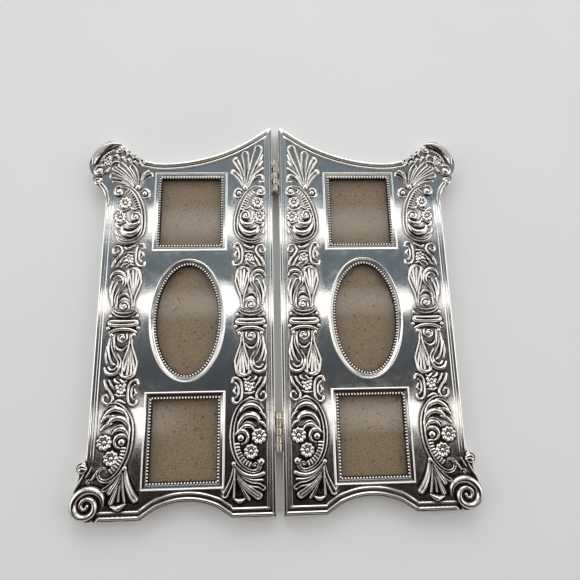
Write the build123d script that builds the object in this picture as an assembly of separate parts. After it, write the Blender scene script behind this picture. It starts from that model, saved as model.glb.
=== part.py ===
from build123d import *
import math
import os

# A hinged double photo frame, lying open on its back: two pressed, silver-plated leaves, each with a
# square window above and below an oval one, which fold like a book on two butt hinges.
# +Z comes out of the front, +Y runs up to the peaks, and the hinge pins lie above the Y axis.
# One leaf is drawn in its own plane: u runs outward from its hinge edge, v upward from its feet.

# Leaf outline
LEAF_WIDTH = 113.0
LEAF_HEIGHT = 256.0
LEAF_GAP = 4.7
PEAK_RUN = 13.0
PEAK_DROP = 9.0
TOP_LOW = (66.0, 228.4)
TOP_OUTER = (88.0, 230.0)
SHOULDER_HEIGHT = 231.0
INNER_FOOT_END = 26.0
OUTER_FOOT_START = 80.0
ARCH_HAUNCH_INSET = 8.0
ARCH_HAUNCH = 5.2
ARCH_RISE = 9.6

# Pressed sheet and the levels of the front, measured from the resting plane
SHEET = 0.8
LIP_LEVEL = 6.8
SEAT_LEVEL = 8.2
FIELD_LEVEL = 8.2
LINE_LEVEL = 8.8
RIM_LEVEL = 9.2
BEZEL_LEVEL = 9.8
SCROLL_LEVEL = 9.0
RELIEF_LEVEL = 10.0

# Rim moulding: an edge roll and a thin line inside it
RIM_WIDTH = 2.6
RIM_ROUND = 0.8
LINE_INSET = 3.8
LINE_WIDTH = 1.1

# Windows
WINDOW_U = 55.6
WINDOW_WIDTH = 40.0
WINDOW_HEIGHT = 47.3
OVAL_WIDTH = 39.2
OVAL_HEIGHT = 70.6
OVAL_SIDES = 32
WINDOW_V = {"upper": 192.6, "oval": 118.6, "lower": 44.4}
BEZEL_WIDTH = 4.6
BEZEL_EDGE = 0.5
PEARL_SEAT = 2.0
PEARL_COURSE = 1.2
PEARL_INSET = 0.4
PEARL_LEVEL = 8.8

# Glass, mat, liner and back board
GLASS = 2.0
GLASS_LAP = 2.2
GLASS_PLAY = 0.3
BOARD = 3.0
BOARD_PLAY = 0.3
LINER_U = (5.0, 108.0)
LINER_V = (11.5, 226.4)
POCKET_U = (14.0, 97.0)
POCKET_V = (15.0, 222.0)
BOARD_BACK = LIP_LEVEL - GLASS - BOARD

# Turn buttons
BUTTON_THICKNESS = 0.8
BUTTON_WIDTH = 5.0
BUTTON_REACH = 9.0
BUTTON_CORNER = 1.4
BUTTON_U = (9.4, 101.6)
BUTTON_V = (66.0, 172.0)
BUTTON_PLAY = 0.1
BUTTON_RIVET_RADIUS = 1.0
BUTTON_BORE_PLAY = 0.06
BUTTON_HEAD_RADIUS = 1.9
BUTTON_HEAD = 0.5
BUTTON_RIVET_BITE = 3.0

# Hinges
HINGE_LEVEL = 10.4
HINGE_V = {"upper": 218.0, "lower": 48.0}
HINGE_LENGTH = 23.0
KNUCKLES = 5
KNUCKLE_GAP = 0.2
BARREL_RADIUS = 1.9
PIN_RADIUS = 1.0
PIN_PLAY = 0.05
PIN_HEAD = 0.6
PIN_HEAD_RADIUS = 1.6
PLATE = 0.7
PLATE_FOOT = 2.0
PLATE_TOP = 8.0
HINGE_RIVET_RADIUS = 0.8
HINGE_RIVET_HEAD_RADIUS = 1.5
HINGE_RIVET_HEAD = 0.4
HINGE_RIVET_OFFSET = 7.0
HINGE_RIVET_LEVEL = 5.0

# Sides of the round forms, kept low where they repeat
RIVET_SIDES = 8
BARREL_SIDES = 12
BORE_SIDES = 12
SCROLL_SIDES = 20
BALL_SIDES = 10
SPIRAL_STEP = 36

# Scrolled corners
LOBE_START = (95.0, 236.0)
LOBE_JOIN = (104.0, 243.0)
LOBE_CROWN = (113.0, 245.6)
LOBE_SHOULDER = (121.0, 240.0)
LOBE_OUTER = (126.2, 229.5)
LOBE_NOTCH = (123.0, 219.6)
CURL_OUTER = (123.2, 215.0)
CURL_END = (118.0, 211.4)
NECK_MIDDLE = (114.2, 204.0)
NECK_END = (LEAF_WIDTH, 196.0)
SCROLL_ROOT_MIDDLE = (107.0, 221.0)
LOBE_HOLLOW_CENTRE = (113.6, 232.6)
LOBE_HOLLOW_RADIUS = 9.6
VOLUTE_RADIUS = 10.2
VOLUTE_U = 110.8
STEM_MIDDLE = (118.6, 19.0)
STEM_TOP = (116.4, 26.4)
BALL_CENTRE = (115.4, 29.6)
BALL_RADIUS = 3.2
VOLUTE_RIDGE = 2.0
VOLUTE_START = 170
VOLUTE_TURN = 660
VOLUTE_BORDER = 0.5
VOLUTE_SHRINK = 0.28

# Pressed ornament. Scrolls, petals and discs are given for each half band; the rest for the upper inner
# half band, which the other three mirror about the middle of the windows and the middle of the collar.
BAND_MIRROR_U = 55.6
BAND_MIRROR_V = 117.3
ORNAMENT_ROOT = 0.3
SCROLL_WIDTH = 2.7
STAR_POINTS = 6
STAR_WAIST = 0.55
PETAL_BELLY = 0.7
HALF_BANDS = {
    "inner_upper": {
        "scroll": [(9, 210), (15.4, 208.6), (21, 200), (24.6, 186), (22, 173), (14.2, 168), (7, 171)],
        "petals": [
            ((18, 210), (8, 243), 3.0),
            ((18.4, 211), (18.2, 237), 2.8),
            ((19, 211), (25.8, 232.5), 2.6),
            ((19.4, 210), (27, 222), 2.6),
            ((17.4, 210), (6.5, 225), 2.2),
            ((16, 211), (6.5, 217), 2.4),
        ],
        "rosettes": [((10.5, 198), 4.6), ((8.6, 188.4), 4.3)],
        "discs": [((8, 207), 3.6), ((17.9, 189.4), 3.6), ((22.9, 205.8), 2.8)],
    },
    "outer_upper": {
        "scroll": [(103, 211), (96, 209), (90, 200), (86.8, 186), (89.6, 173), (97.4, 168), (104, 171)],
        "petals": [
            ((91, 212), (82.8, 222.4), 3.0),
            ((92.4, 212), (94, 222.4), 2.2),
            ((93, 211.6), (107.4, 226.2), 2.8),
            ((93.8, 211), (109.6, 221.8), 2.6),
            ((95, 210.4), (109.4, 215.6), 2.2),
        ],
        "rosettes": [((99.4, 197.6), 4.6), ((102.6, 188.6), 4.2)],
        "discs": [((104.6, 207.2), 3.6), ((92.8, 188.9), 3.6), ((86.8, 205.6), 2.8)],
    },
    "inner_lower": {
        "scroll": [(10.6, 24.8), (17.6, 25.4), (24.6, 34), (27, 48), (22.4, 62.6), (15, 66.8), (7.6, 62.6)],
        "petals": [
            ((23.6, 28), (6.4, 24.2), 2.2),
            ((23.8, 27), (6.8, 20), 2.0),
            ((24, 26), (6.6, 15.4), 2.4),
            ((23.8, 25), (8.4, 10.4), 3.6),
            ((24, 24.6), (21, 8.4), 5.6),
            ((25.2, 27), (30.8, 11.4), 2.8),
        ],
        "rosettes": [((9.9, 45.4), 4.7), ((14.6, 36.4), 4.7)],
        "discs": [((9.8, 28.8), 3.6), ((20.4, 45.4), 3.6)],
    },
    "outer_lower": {
        "scroll": [(103.4, 22.2), (96.4, 24), (89.2, 34), (86.8, 48), (91.4, 62.4), (98.6, 66.2), (105, 62)],
        "petals": [
            ((89.6, 26), (82, 11.2), 2.8),
            ((91.2, 25.6), (93.4, 5.4), 5.6),
            ((91.8, 25.6), (99.2, 8), 2.0),
            ((92.4, 26), (100.4, 16), 2.4),
        ],
        "rosettes": [((103, 43.8), 4.6), ((98.2, 34.6), 4.6)],
        "discs": [((102.6, 25.6), 3.6), ((93, 44.4), 3.6)],
    },
}
GADROONS = [
    [(6.8, 177.5), (10, 172), (19, 171.8), (23.4, 178)],
    [(8.8, 181.6), (12, 177.2), (19.2, 177), (22.8, 183)],
    [(11.8, 184.6), (15.2, 182.4), (18.8, 182.8), (22.2, 187)],
]
GADROON_WIDTH = 2.6
ACANTHUS = [(7.4, 145), (7.2, 136), (9.4, 126.6)]
ACANTHUS_WIDTHS = [3.4, 4.6, 2.0]
ACANTHUS_HOOK = [(5.6, 146), (9.2, 149), (13, 146), (13, 139.4)]
ACANTHUS_HOOK_WIDTHS = [1.6, 2.6, 2.6, 1.4]
DROP_LEAF = [(18.4, 153.4), (20.4, 147), (20.6, 138), (20.4, 126)]
DROP_LEAF_WIDTHS = [3.4, 8.6, 6.6, 2.4]
CARTOUCHE_DISCS = [((7.6, 163), 3.3), ((15.2, 159.6), 2.6), ((14.5, 127.6), 4.2)]
SHELL_STRIP = [(23.2, 168.6), (23.2, 153.6)]
SHELL_STRIP_WIDTH = 6.0
COLLAR_BAR = [(6.2, 122.2), (23.8, 122.2)]
COLLAR_BAR_WIDTH = 3.4
COLLAR_LENS = [(7.4, BAND_MIRROR_V), (22.6, BAND_MIRROR_V)]
COLLAR_LENS_WIDTH = 4.4
HOOD = [(105.4, 241.4), (113.6, 242), (120.4, 236.6), (122.8, 226)]
HOOD_WIDTHS = [3.0, 6.0, 5.8, 3.0]
SPRAY = [(84, 226.2), (97, 227.8), (109, 233.4)]
SPRAY_WIDTHS = [2.4, 3.2, 4.0]
TOP_CORNER_DISCS = [((119, 222.4), 3.6), ((119.6, 215), 2.6), ((113.6, 227.6), 3.6)]


def at_level(shape, level):
    return Pos(0, 0, level) * shape


def slab(face, bottom, top):
    return extrude(at_level(face, bottom), top - bottom, dir=(0, 0, 1))


def round_pin(radius, sides):
    """A circle's many-sided stand-in, which lies inside it."""
    return RegularPolygon(radius, sides)


def round_hole(radius, sides):
    """A circle's many-sided stand-in, which lies outside it."""
    return RegularPolygon(radius, sides, major_radius=False)


def leaf_face():
    """The leaf without its scrolled corners."""
    peak = (0, LEAF_HEIGHT)
    run_end = (PEAK_RUN, LEAF_HEIGHT - PEAK_DROP)
    inner_haunch = (INNER_FOOT_END + ARCH_HAUNCH_INSET, ARCH_HAUNCH)
    outer_haunch = (OUTER_FOOT_START - ARCH_HAUNCH_INSET, ARCH_HAUNCH)
    crown = ((INNER_FOOT_END + OUTER_FOOT_START) / 2, ARCH_RISE)
    sweep_down = TangentArc(run_end, TOP_LOW, tangent=(PEAK_RUN, -PEAK_DROP))
    edges = [
        Line((0, 0), peak),
        Line(peak, run_end),
        sweep_down,
        TangentArc(TOP_LOW, TOP_OUTER, tangent=sweep_down % 1),
        Line(TOP_OUTER, (LEAF_WIDTH, SHOULDER_HEIGHT)),
        Line((LEAF_WIDTH, SHOULDER_HEIGHT), (LEAF_WIDTH, 0)),
        Line((LEAF_WIDTH, 0), (OUTER_FOOT_START, 0)),
        Line((OUTER_FOOT_START, 0), outer_haunch),
        ThreePointArc(outer_haunch, crown, inner_haunch),
        Line(inner_haunch, (INNER_FOOT_END, 0)),
        Line((INNER_FOOT_END, 0), (0, 0)),
    ]
    return make_face(Curve() + edges)


def top_scroll_face():
    """The lobed corner that stands out at the top of the outer side."""
    root = (LEAF_WIDTH - 2 * SHEET, NECK_END[1])
    edges = [
        Line(TOP_OUTER, LOBE_START),
        Line(LOBE_START, LOBE_JOIN),
        ThreePointArc(LOBE_JOIN, LOBE_CROWN, LOBE_SHOULDER),
        ThreePointArc(LOBE_SHOULDER, LOBE_OUTER, LOBE_NOTCH),
        ThreePointArc(LOBE_NOTCH, CURL_OUTER, CURL_END),
        ThreePointArc(CURL_END, NECK_MIDDLE, NECK_END),
        Line(NECK_END, root),
        ThreePointArc(root, SCROLL_ROOT_MIDDLE, TOP_OUTER),
    ]
    return make_face(Curve() + edges)


def bottom_scroll_face():
    """The volute at the outer foot, with its stem and the ball that ends it."""
    volute = Pos(VOLUTE_U, VOLUTE_RADIUS) * round_pin(VOLUTE_RADIUS, SCROLL_SIDES)
    shoulder = (VOLUTE_U + VOLUTE_RADIUS, VOLUTE_RADIUS)
    root_low = (VOLUTE_U, VOLUTE_RADIUS)
    root_high = (VOLUTE_U, BALL_CENTRE[1])
    stem_edges = [
        ThreePointArc(shoulder, STEM_MIDDLE, STEM_TOP),
        Line(STEM_TOP, root_high),
        Line(root_high, root_low),
        Line(root_low, shoulder),
    ]
    ball = Pos(*BALL_CENTRE) * round_pin(BALL_RADIUS, BALL_SIDES)
    return volute + make_face(Curve() + stem_edges) + ball


def ribbon_sides(points, widths):
    """The two sides of a band of changing width along a row of points."""
    left = []
    right = []
    for place, (point, width) in enumerate(zip(points, widths)):
        before = points[max(place - 1, 0)]
        after = points[min(place + 1, len(points) - 1)]
        along = Vector(after[0] - before[0], after[1] - before[1]).normalized()
        across = along.rotate(Axis.Z, 90) * width / 2
        left.append((point[0] + across.X, point[1] + across.Y))
        right.append((point[0] - across.X, point[1] - across.Y))
    return left, right


def ribbon(points, widths):
    left, right = ribbon_sides(points, widths)
    return Polygon(*left, *reversed(right), align=None)


def spiral_points(centre, radius, start, turn, shrink):
    """Points that wind from the given angle and close in by the same share with each half turn."""
    steps = round(abs(turn) / SPIRAL_STEP)
    points = []
    for step in range(steps + 1):
        angle = math.radians(start + turn * step / steps)
        reach = radius * (1 - shrink) ** (abs(turn) * step / steps / 180)
        points.append((centre[0] + reach * math.cos(angle), centre[1] + reach * math.sin(angle)))
    return points


def facet(*corners):
    return Face(Wire.make_polygon(corners))


def polyhedron(base, sides):
    """A solid from a flat base outline and the triangles that stand on it."""
    return Solid(Shell([facet(*base)] + [facet(*side) for side in sides]))


def peak(outline, top):
    """Ornament with a many-sided foot sunk in the field and one highest point above it."""
    foot = [(u, v, FIELD_LEVEL - ORNAMENT_ROOT) for u, v in outline]
    sides = [(one, other, top) for one, other in zip(foot, foot[1:] + foot[:1])]
    return polyhedron(foot, sides)


def ridge(points, widths, level):
    """Ornament with a sharp crest along a row of points."""
    left, right = ribbon_sides(points, widths)
    left = [(u, v, FIELD_LEVEL - ORNAMENT_ROOT) for u, v in left]
    right = [(u, v, FIELD_LEVEL - ORNAMENT_ROOT) for u, v in right]
    crest = [(u, v, level) for u, v in points]
    sides = [(left[0], right[0], crest[0]), (left[-1], right[-1], crest[-1])]
    for here in range(len(points) - 1):
        for edge in (left, right):
            sides.append((edge[here], edge[here + 1], crest[here]))
            sides.append((edge[here + 1], crest[here + 1], crest[here]))
    return polyhedron(left + right[::-1], sides)


def petal(base, tip, width):
    belly_u = base[0] + PETAL_BELLY * (tip[0] - base[0])
    belly_v = base[1] + PETAL_BELLY * (tip[1] - base[1])
    left, right = ribbon_sides([base, (belly_u, belly_v), tip], [width] * 3)
    return peak([base, left[1], tip, right[1]], (belly_u, belly_v, RELIEF_LEVEL))


def disc(centre, radius, waist=1.0):
    """A many-sided peak, or a star where its waist is drawn in."""
    outline = []
    for corner in range(2 * STAR_POINTS):
        angle = math.pi * corner / STAR_POINTS
        reach = radius * (waist if corner % 2 else 1.0)
        outline.append((centre[0] + reach * math.cos(angle), centre[1] + reach * math.sin(angle)))
    if waist == 1.0:
        outline = outline[::2]
    return peak(outline, (*centre, RELIEF_LEVEL))


def mirrored(point, outer, lower):
    """A point of the upper inner half band, moved to another half band."""
    u = 2 * BAND_MIRROR_U - point[0] if outer else point[0]
    v = 2 * BAND_MIRROR_V - point[1] if lower else point[1]
    return (u, v)


def half_band(name, band):
    outer = name.startswith("outer")
    lower = name.endswith("lower")

    def row(points):
        return [mirrored(point, outer, lower) for point in points]

    pieces = [ridge(band["scroll"], [SCROLL_WIDTH] * len(band["scroll"]), RELIEF_LEVEL)]
    pieces += [petal(*shape) for shape in band["petals"]]
    pieces += [disc(*shape, STAR_WAIST) for shape in band["rosettes"]]
    pieces += [disc(*shape) for shape in band["discs"]]
    pieces += [disc(mirrored(centre, outer, lower), radius) for centre, radius in CARTOUCHE_DISCS]
    pieces += [ridge(row(points), [GADROON_WIDTH] * len(points), RELIEF_LEVEL) for points in GADROONS]
    pieces.append(ridge(row(ACANTHUS), ACANTHUS_WIDTHS, RELIEF_LEVEL))
    pieces.append(ridge(row(DROP_LEAF), DROP_LEAF_WIDTHS, RELIEF_LEVEL))
    pieces.append(ridge(row(ACANTHUS_HOOK), ACANTHUS_HOOK_WIDTHS, RELIEF_LEVEL))
    pieces.append(ridge(row(SHELL_STRIP), [SHELL_STRIP_WIDTH] * 2, RELIEF_LEVEL))
    pieces.append(ridge(row(COLLAR_BAR), [COLLAR_BAR_WIDTH] * 2, RELIEF_LEVEL))
    return pieces


def ornament():
    """All relief on a leaf's front, as separate solids to be joined to the sheet."""
    pieces = [ridge(HOOD, HOOD_WIDTHS, RELIEF_LEVEL)]
    for name, band in HALF_BANDS.items():
        pieces += half_band(name, band)
    for outer in (False, True):
        lens = [mirrored(point, outer, False) for point in COLLAR_LENS]
        pieces.append(ridge(lens, [COLLAR_LENS_WIDTH] * 2, RELIEF_LEVEL))
    pieces.append(ridge(SPRAY, SPRAY_WIDTHS, RELIEF_LEVEL))
    pieces += [disc(*shape) for shape in TOP_CORNER_DISCS]
    return pieces


def volute_ridge():
    radius = VOLUTE_RADIUS - VOLUTE_BORDER - VOLUTE_RIDGE / 2
    points = spiral_points((VOLUTE_U, VOLUTE_RADIUS), radius, VOLUTE_START, -VOLUTE_TURN, VOLUTE_SHRINK)
    return slab(ribbon(points, [VOLUTE_RIDGE] * len(points)), SCROLL_LEVEL, RELIEF_LEVEL)


def oval_face(grow):
    """A many-sided oval, whose sides move out parallel to themselves."""
    points = []
    for side in range(OVAL_SIDES):
        angle = 2 * math.pi * side / OVAL_SIDES
        points.append((OVAL_WIDTH / 2 * math.cos(angle), OVAL_HEIGHT / 2 * math.sin(angle)))
    opening = Polygon(*points, align=None)
    return offset(opening, grow, kind=Kind.INTERSECTION) if grow else opening


def window_face(name, grow):
    """A window's outline, larger all round than its opening by the given amount."""
    place = Pos(WINDOW_U, WINDOW_V[name])
    if name == "oval":
        return place * oval_face(grow)
    return place * Rectangle(WINDOW_WIDTH + 2 * grow, WINDOW_HEIGHT + 2 * grow)


def bezel(name):
    """A raised frame that slopes in to the pearl course, with a flat back for the glass."""
    block = slab(window_face(name, BEZEL_WIDTH), LIP_LEVEL, BEZEL_LEVEL)
    slope_low = at_level(window_face(name, PEARL_SEAT), SEAT_LEVEL)
    slope_high = at_level(window_face(name, BEZEL_WIDTH - BEZEL_EDGE), BEZEL_LEVEL)
    pearls = window_face(name, PEARL_INSET + PEARL_COURSE) - window_face(name, PEARL_INSET)
    return block - loft([slope_low, slope_high], ruled=True) + slab(pearls, SEAT_LEVEL, PEARL_LEVEL)


def inset(face, distance):
    return offset(face, -distance, kind=Kind.INTERSECTION)


def rimmed_block(face):
    """A solid leaf with a rolled edge, a field sunk inside it and a thin line parallel to the edge."""
    roll = [at_level(face, RIM_LEVEL - RIM_ROUND)]
    for turn in (45, 90):
        depth = RIM_ROUND * (1 - math.cos(math.radians(turn)))
        rise = RIM_ROUND * math.sin(math.radians(turn))
        roll.append(at_level(inset(face, depth), RIM_LEVEL - RIM_ROUND + rise))
    slope_low = at_level(inset(face, RIM_WIDTH), FIELD_LEVEL)
    slope_high = at_level(inset(face, RIM_WIDTH - RIM_ROUND), RIM_LEVEL)
    line = inset(face, LINE_INSET) - inset(face, LINE_INSET + LINE_WIDTH)
    block = slab(face, 0, RIM_LEVEL - RIM_ROUND) + loft(roll, ruled=True)
    return block - loft([slope_low, slope_high], ruled=True) + slab(line, FIELD_LEVEL, LINE_LEVEL)


def front_shell():
    face = leaf_face()
    hollow = inset(face, SHEET)
    hollow += Pos(*LOBE_HOLLOW_CENTRE) * round_pin(LOBE_HOLLOW_RADIUS, SCROLL_SIDES)
    hollow += Pos(VOLUTE_U, VOLUTE_RADIUS) * round_pin(VOLUTE_RADIUS - SHEET, SCROLL_SIDES)
    shell = rimmed_block(face) + slab(top_scroll_face() + bottom_scroll_face(), 0, SCROLL_LEVEL)
    shell += volute_ridge()
    shell -= slab(hollow, 0, FIELD_LEVEL - SHEET)
    for name in WINDOW_V:
        shell += bezel(name)
        shell -= slab(window_face(name, 0), 0, RELIEF_LEVEL)
    return shell + ornament()


def glass_pane(name):
    return slab(window_face(name, GLASS_LAP), LIP_LEVEL - GLASS, LIP_LEVEL)


def rectangle_between(across, up, shrink=0):
    middle = Pos(sum(across) / 2, sum(up) / 2)
    return middle * Rectangle(across[1] - across[0] - 2 * shrink, up[1] - up[0] - 2 * shrink)


def window_mat():
    card = slab(rectangle_between(POCKET_U, POCKET_V, BOARD_PLAY), LIP_LEVEL - GLASS, LIP_LEVEL)
    for name in WINDOW_V:
        card -= slab(window_face(name, GLASS_LAP + GLASS_PLAY), 0, RELIEF_LEVEL)
    return card


def liner_frame():
    ring = rectangle_between(LINER_U, LINER_V) - rectangle_between(POCKET_U, POCKET_V)
    frame = slab(ring, BOARD_BACK, FIELD_LEVEL - SHEET)
    for u in BUTTON_U:
        for v in BUTTON_V:
            shank = round_pin(BUTTON_RIVET_RADIUS, RIVET_SIDES)
            frame -= Pos(u, v) * slab(shank, 0, BOARD_BACK + BUTTON_RIVET_BITE)
    return frame


def back_board():
    return slab(rectangle_between(POCKET_U, POCKET_V, BOARD_PLAY), BOARD_BACK, LIP_LEVEL - GLASS)


def turn_button(u, v):
    """A flat tongue with clipped corners, whose tip lies over the back board."""
    inward = 1 if u < WINDOW_U else -1
    length = BUTTON_REACH + BUTTON_WIDTH / 2
    plate = Rectangle(length, BUTTON_WIDTH)
    plate = chamfer(plate.vertices(), BUTTON_CORNER)
    plate = Pos(inward * (BUTTON_REACH - BUTTON_WIDTH / 2) / 2, 0) * plate
    plate -= round_hole(BUTTON_RIVET_RADIUS + BUTTON_BORE_PLAY, BORE_SIDES)
    top = BOARD_BACK - BUTTON_PLAY
    return Pos(u, v) * slab(plate, top - BUTTON_THICKNESS, top)


def button_rivet(u, v):
    head_top = BOARD_BACK - 2 * BUTTON_PLAY - BUTTON_THICKNESS
    head = slab(round_pin(BUTTON_HEAD_RADIUS, RIVET_SIDES), head_top - BUTTON_HEAD, head_top)
    shank = slab(round_pin(BUTTON_RIVET_RADIUS, RIVET_SIDES), head_top, BOARD_BACK + BUTTON_RIVET_BITE)
    return Pos(u, v) * (head + shank)


def along_hinge(face, start, end):
    """Extrude an X-Z face along the hinge, from one distance to the other."""
    return extrude(Plane.XZ.offset(-end) * face, end - start)


def hinge_leaf(first_knuckle):
    """A plate on the skirt's face whose tabs curl round the pin, centred on the middle of the hinge."""
    pitch = HINGE_LENGTH / KNUCKLES
    half = HINGE_LENGTH / 2
    inner = LEAF_GAP / 2 - PLATE
    axis = Pos(0, HINGE_LEVEL)
    plate_face = rectangle_between((inner, inner + PLATE), (PLATE_FOOT, PLATE_TOP))
    tab_face = rectangle_between((inner, inner + PLATE), (PLATE_TOP, HINGE_LEVEL))
    ring_face = tab_face + axis * round_pin(BARREL_RADIUS, BARREL_SIDES)
    ring_face -= axis * round_hole(PIN_RADIUS + PIN_PLAY, BORE_SIDES)
    leaf = along_hinge(plate_face, -half, half)
    for knuckle in range(first_knuckle, KNUCKLES, 2):
        start = -half + knuckle * pitch + KNUCKLE_GAP / 2
        leaf += along_hinge(ring_face, start, start + pitch - KNUCKLE_GAP)
    for v in (-HINGE_RIVET_OFFSET, HINGE_RIVET_OFFSET):
        hole = slab(round_pin(HINGE_RIVET_RADIUS, RIVET_SIDES), 0, PLATE)
        leaf -= Pos(inner, v, HINGE_RIVET_LEVEL) * Rot(0, 90, 0) * hole
    return leaf


def hinge_pin():
    half = HINGE_LENGTH / 2 - KNUCKLE_GAP / 2
    axis = Pos(0, HINGE_LEVEL)
    pin = along_hinge(axis * round_pin(PIN_RADIUS, BORE_SIDES), -half, half)
    for start in (-half - PIN_HEAD, half):
        pin += along_hinge(axis * round_pin(PIN_HEAD_RADIUS, BORE_SIDES), start, start + PIN_HEAD)
    return pin


def hinge_rivet(v):
    """A rivet through the plate and the skirt, headed on both sides."""
    inner = LEAF_GAP / 2 - PLATE
    grip = PLATE + SHEET
    head_face = round_pin(HINGE_RIVET_HEAD_RADIUS, RIVET_SIDES)
    head = slab(head_face, -HINGE_RIVET_HEAD, 0)
    tail = slab(head_face, grip, grip + HINGE_RIVET_HEAD)
    rivet = head + slab(round_pin(HINGE_RIVET_RADIUS, RIVET_SIDES), 0, grip) + tail
    return Pos(inner, v, HINGE_RIVET_LEVEL) * Rot(0, 90, 0) * rivet


def skirt_holes():
    """The holes in the skirt for the hinges' rivets, in the leaf's own plane."""
    holes = []
    for middle in HINGE_V.values():
        for v in (middle - HINGE_RIVET_OFFSET, middle + HINGE_RIVET_OFFSET):
            hole = slab(round_pin(HINGE_RIVET_RADIUS, RIVET_SIDES), 0, SHEET)
            holes.append(Pos(0, v, HINGE_RIVET_LEVEL) * Rot(0, 90, 0) * hole)
    return holes


def leaf_pieces():
    """The pieces of one leaf, in its own plane."""
    pieces = {"front_shell": front_shell() - skirt_holes()}
    for name in WINDOW_V:
        pieces[f"{name}_glass"] = glass_pane(name)
    pieces["window_mat"] = window_mat()
    pieces["liner_frame"] = liner_frame()
    pieces["back_board"] = back_board()
    number = 0
    for u in BUTTON_U:
        for v in BUTTON_V:
            number += 1
            pieces[f"turn_button_{number}"] = turn_button(u, v)
            pieces[f"button_rivet_{number}"] = button_rivet(u, v)
    return pieces


def assembly():
    half_height = LEAF_HEIGHT / 2
    on_right = Pos(LEAF_GAP / 2, -half_height)
    parts = {}
    for name, piece in leaf_pieces().items():
        right = on_right * piece
        parts[f"right_{name}"] = right
        parts[f"left_{name}"] = mirror(right, Plane.YZ)
    for name, middle in HINGE_V.items():
        place = Pos(0, middle - half_height)
        parts[f"{name}_hinge_leaf_right"] = place * hinge_leaf(1)
        parts[f"{name}_hinge_leaf_left"] = place * mirror(hinge_leaf(0), Plane.YZ)
        parts[f"{name}_hinge_pin"] = place * hinge_pin()
        for number, v in enumerate((-HINGE_RIVET_OFFSET, HINGE_RIVET_OFFSET), 1):
            rivet = place * hinge_rivet(v)
            parts[f"{name}_hinge_rivet_right_{number}"] = rivet
            parts[f"{name}_hinge_rivet_left_{number}"] = mirror(rivet, Plane.YZ)
    return parts


os.makedirs("parts", exist_ok=True)
for node, solid in assembly().items():
    export_step(solid, f"parts/{node}.step")
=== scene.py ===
import math

import bpy
import numpy as np
from mathutils import Matrix, Vector


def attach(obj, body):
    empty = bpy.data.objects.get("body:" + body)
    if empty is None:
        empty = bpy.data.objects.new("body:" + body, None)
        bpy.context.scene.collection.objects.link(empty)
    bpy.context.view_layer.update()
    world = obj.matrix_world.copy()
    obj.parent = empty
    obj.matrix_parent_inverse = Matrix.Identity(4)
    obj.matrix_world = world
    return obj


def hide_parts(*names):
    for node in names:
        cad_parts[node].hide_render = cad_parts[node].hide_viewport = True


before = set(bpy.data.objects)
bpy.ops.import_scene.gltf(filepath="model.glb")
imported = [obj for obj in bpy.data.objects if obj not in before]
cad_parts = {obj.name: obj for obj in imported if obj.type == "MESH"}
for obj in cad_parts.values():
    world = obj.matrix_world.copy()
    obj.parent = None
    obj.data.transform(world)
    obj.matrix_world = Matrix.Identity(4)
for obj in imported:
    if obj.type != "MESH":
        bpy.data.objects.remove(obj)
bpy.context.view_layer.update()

# Lengths are in millimetres in a leaf's own plane: u outward from the hinge edge, v up from the feet.
MM = 0.001
HALF_GAP = 2.35
LEAF_WIDTH = 113.0
LEAF_HEIGHT = 257.4
MIDDLE_V = 128.0
PEAK_RUN = 13.0
PEAK_DROP = 9.0
PEAK_ROUND = 3.2
TOP_LOW = (67.0, 228.9)
TOP_OUTER = (88.0, 230.0)
ARCH = ((26.0, 0.0), (34.0, 5.2), (53.0, 9.6), (72.0, 5.2), (80.0, 0.0))
SHEET = 0.8
FIELD = 8.2
RELIEF = 1.9
OUTLINE = 0
WINDOW_U = 55.6
WINDOWS = {"upper": 192.6, "oval": 118.6, "lower": 44.4}
WINDOW_SIZE = (40.0, 47.3)
OVAL_SIZE = (39.2, 70.6)

# Hinges: level and places of the barrels, their knuckles, each knuckle's edges as radius and distance from
# its end, and thickness and levels of the plates and of the webs between plate and knuckles
HINGE_LEVEL = 10.4
HINGE_V = {"upper": 218.0, "lower": 48.0}
HINGE_LENGTH = 23.0
KNUCKLES = 5
KNUCKLE_PLAY = 0.2
KNUCKLE_END = ((1.08, 0.0), (1.3, 0.0), (1.5, 0.08), (1.6, 0.3))
HINGE_WEB = ((1.3, 2.3), (4.4, HINGE_LEVEL - 0.4))
HINGE_PLATE = ((1.65, 2.3), (2.0, 4.6))
PLATE_EASE = 0.08
PLATE_LIP = 0.94
KNUCKLE_STEPS = 28

# The ornament mirrors about the middle of the windows and the middle of the collar.
MIRROR_U = WINDOW_U
MIRROR_V = 117.3

# Where the inner ornament band ends and the outer one begins, where their halves meet, and the step of their
# mesh; the columns of the field between them, how far from an opening it ends, and the step of the skirt
BAND_END = 31.0
BAND_START = 81.0
SEAM_V = 116.6
FINE = 0.26
FIELD_COLUMNS = 34
BEZEL_LAP = 2.6
SKIRT_STEP = 4.0

# Distances from a rimmed edge at which the mesh has a row
RIM_ROWS = (0, 0.03, 0.1, 0.22, 0.4, 0.62, 0.9, 1.2, 1.5, 1.75, 2, 2.25, 2.5, 2.75, 3, 3.3, 3.6, 3.9, 4.15,
            4.4, 4.65, 4.9)

# The rims along the top and the foot, and the lower ones along the hinge side and the straight outer side:
# rolls, each with its distance from the edge, half width and height
END_RIM = {"upper": ((1.4, 1.4, 1.1), (4.5, 0.75, 0.8)), "lower": ((1.4, 0.8, 0.6), (4.6, 0.6, 0.5))}
HINGE_RIM = ((0.95, 0.95, 0.3), (2.65, 0.65, 0.2), (4.4, 0.65, 0.22))
OUTER_RIM = ((0.95, 0.95, 0.18), (2.65, 0.65, 0.11), (4.4, 0.65, 0.13))

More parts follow.
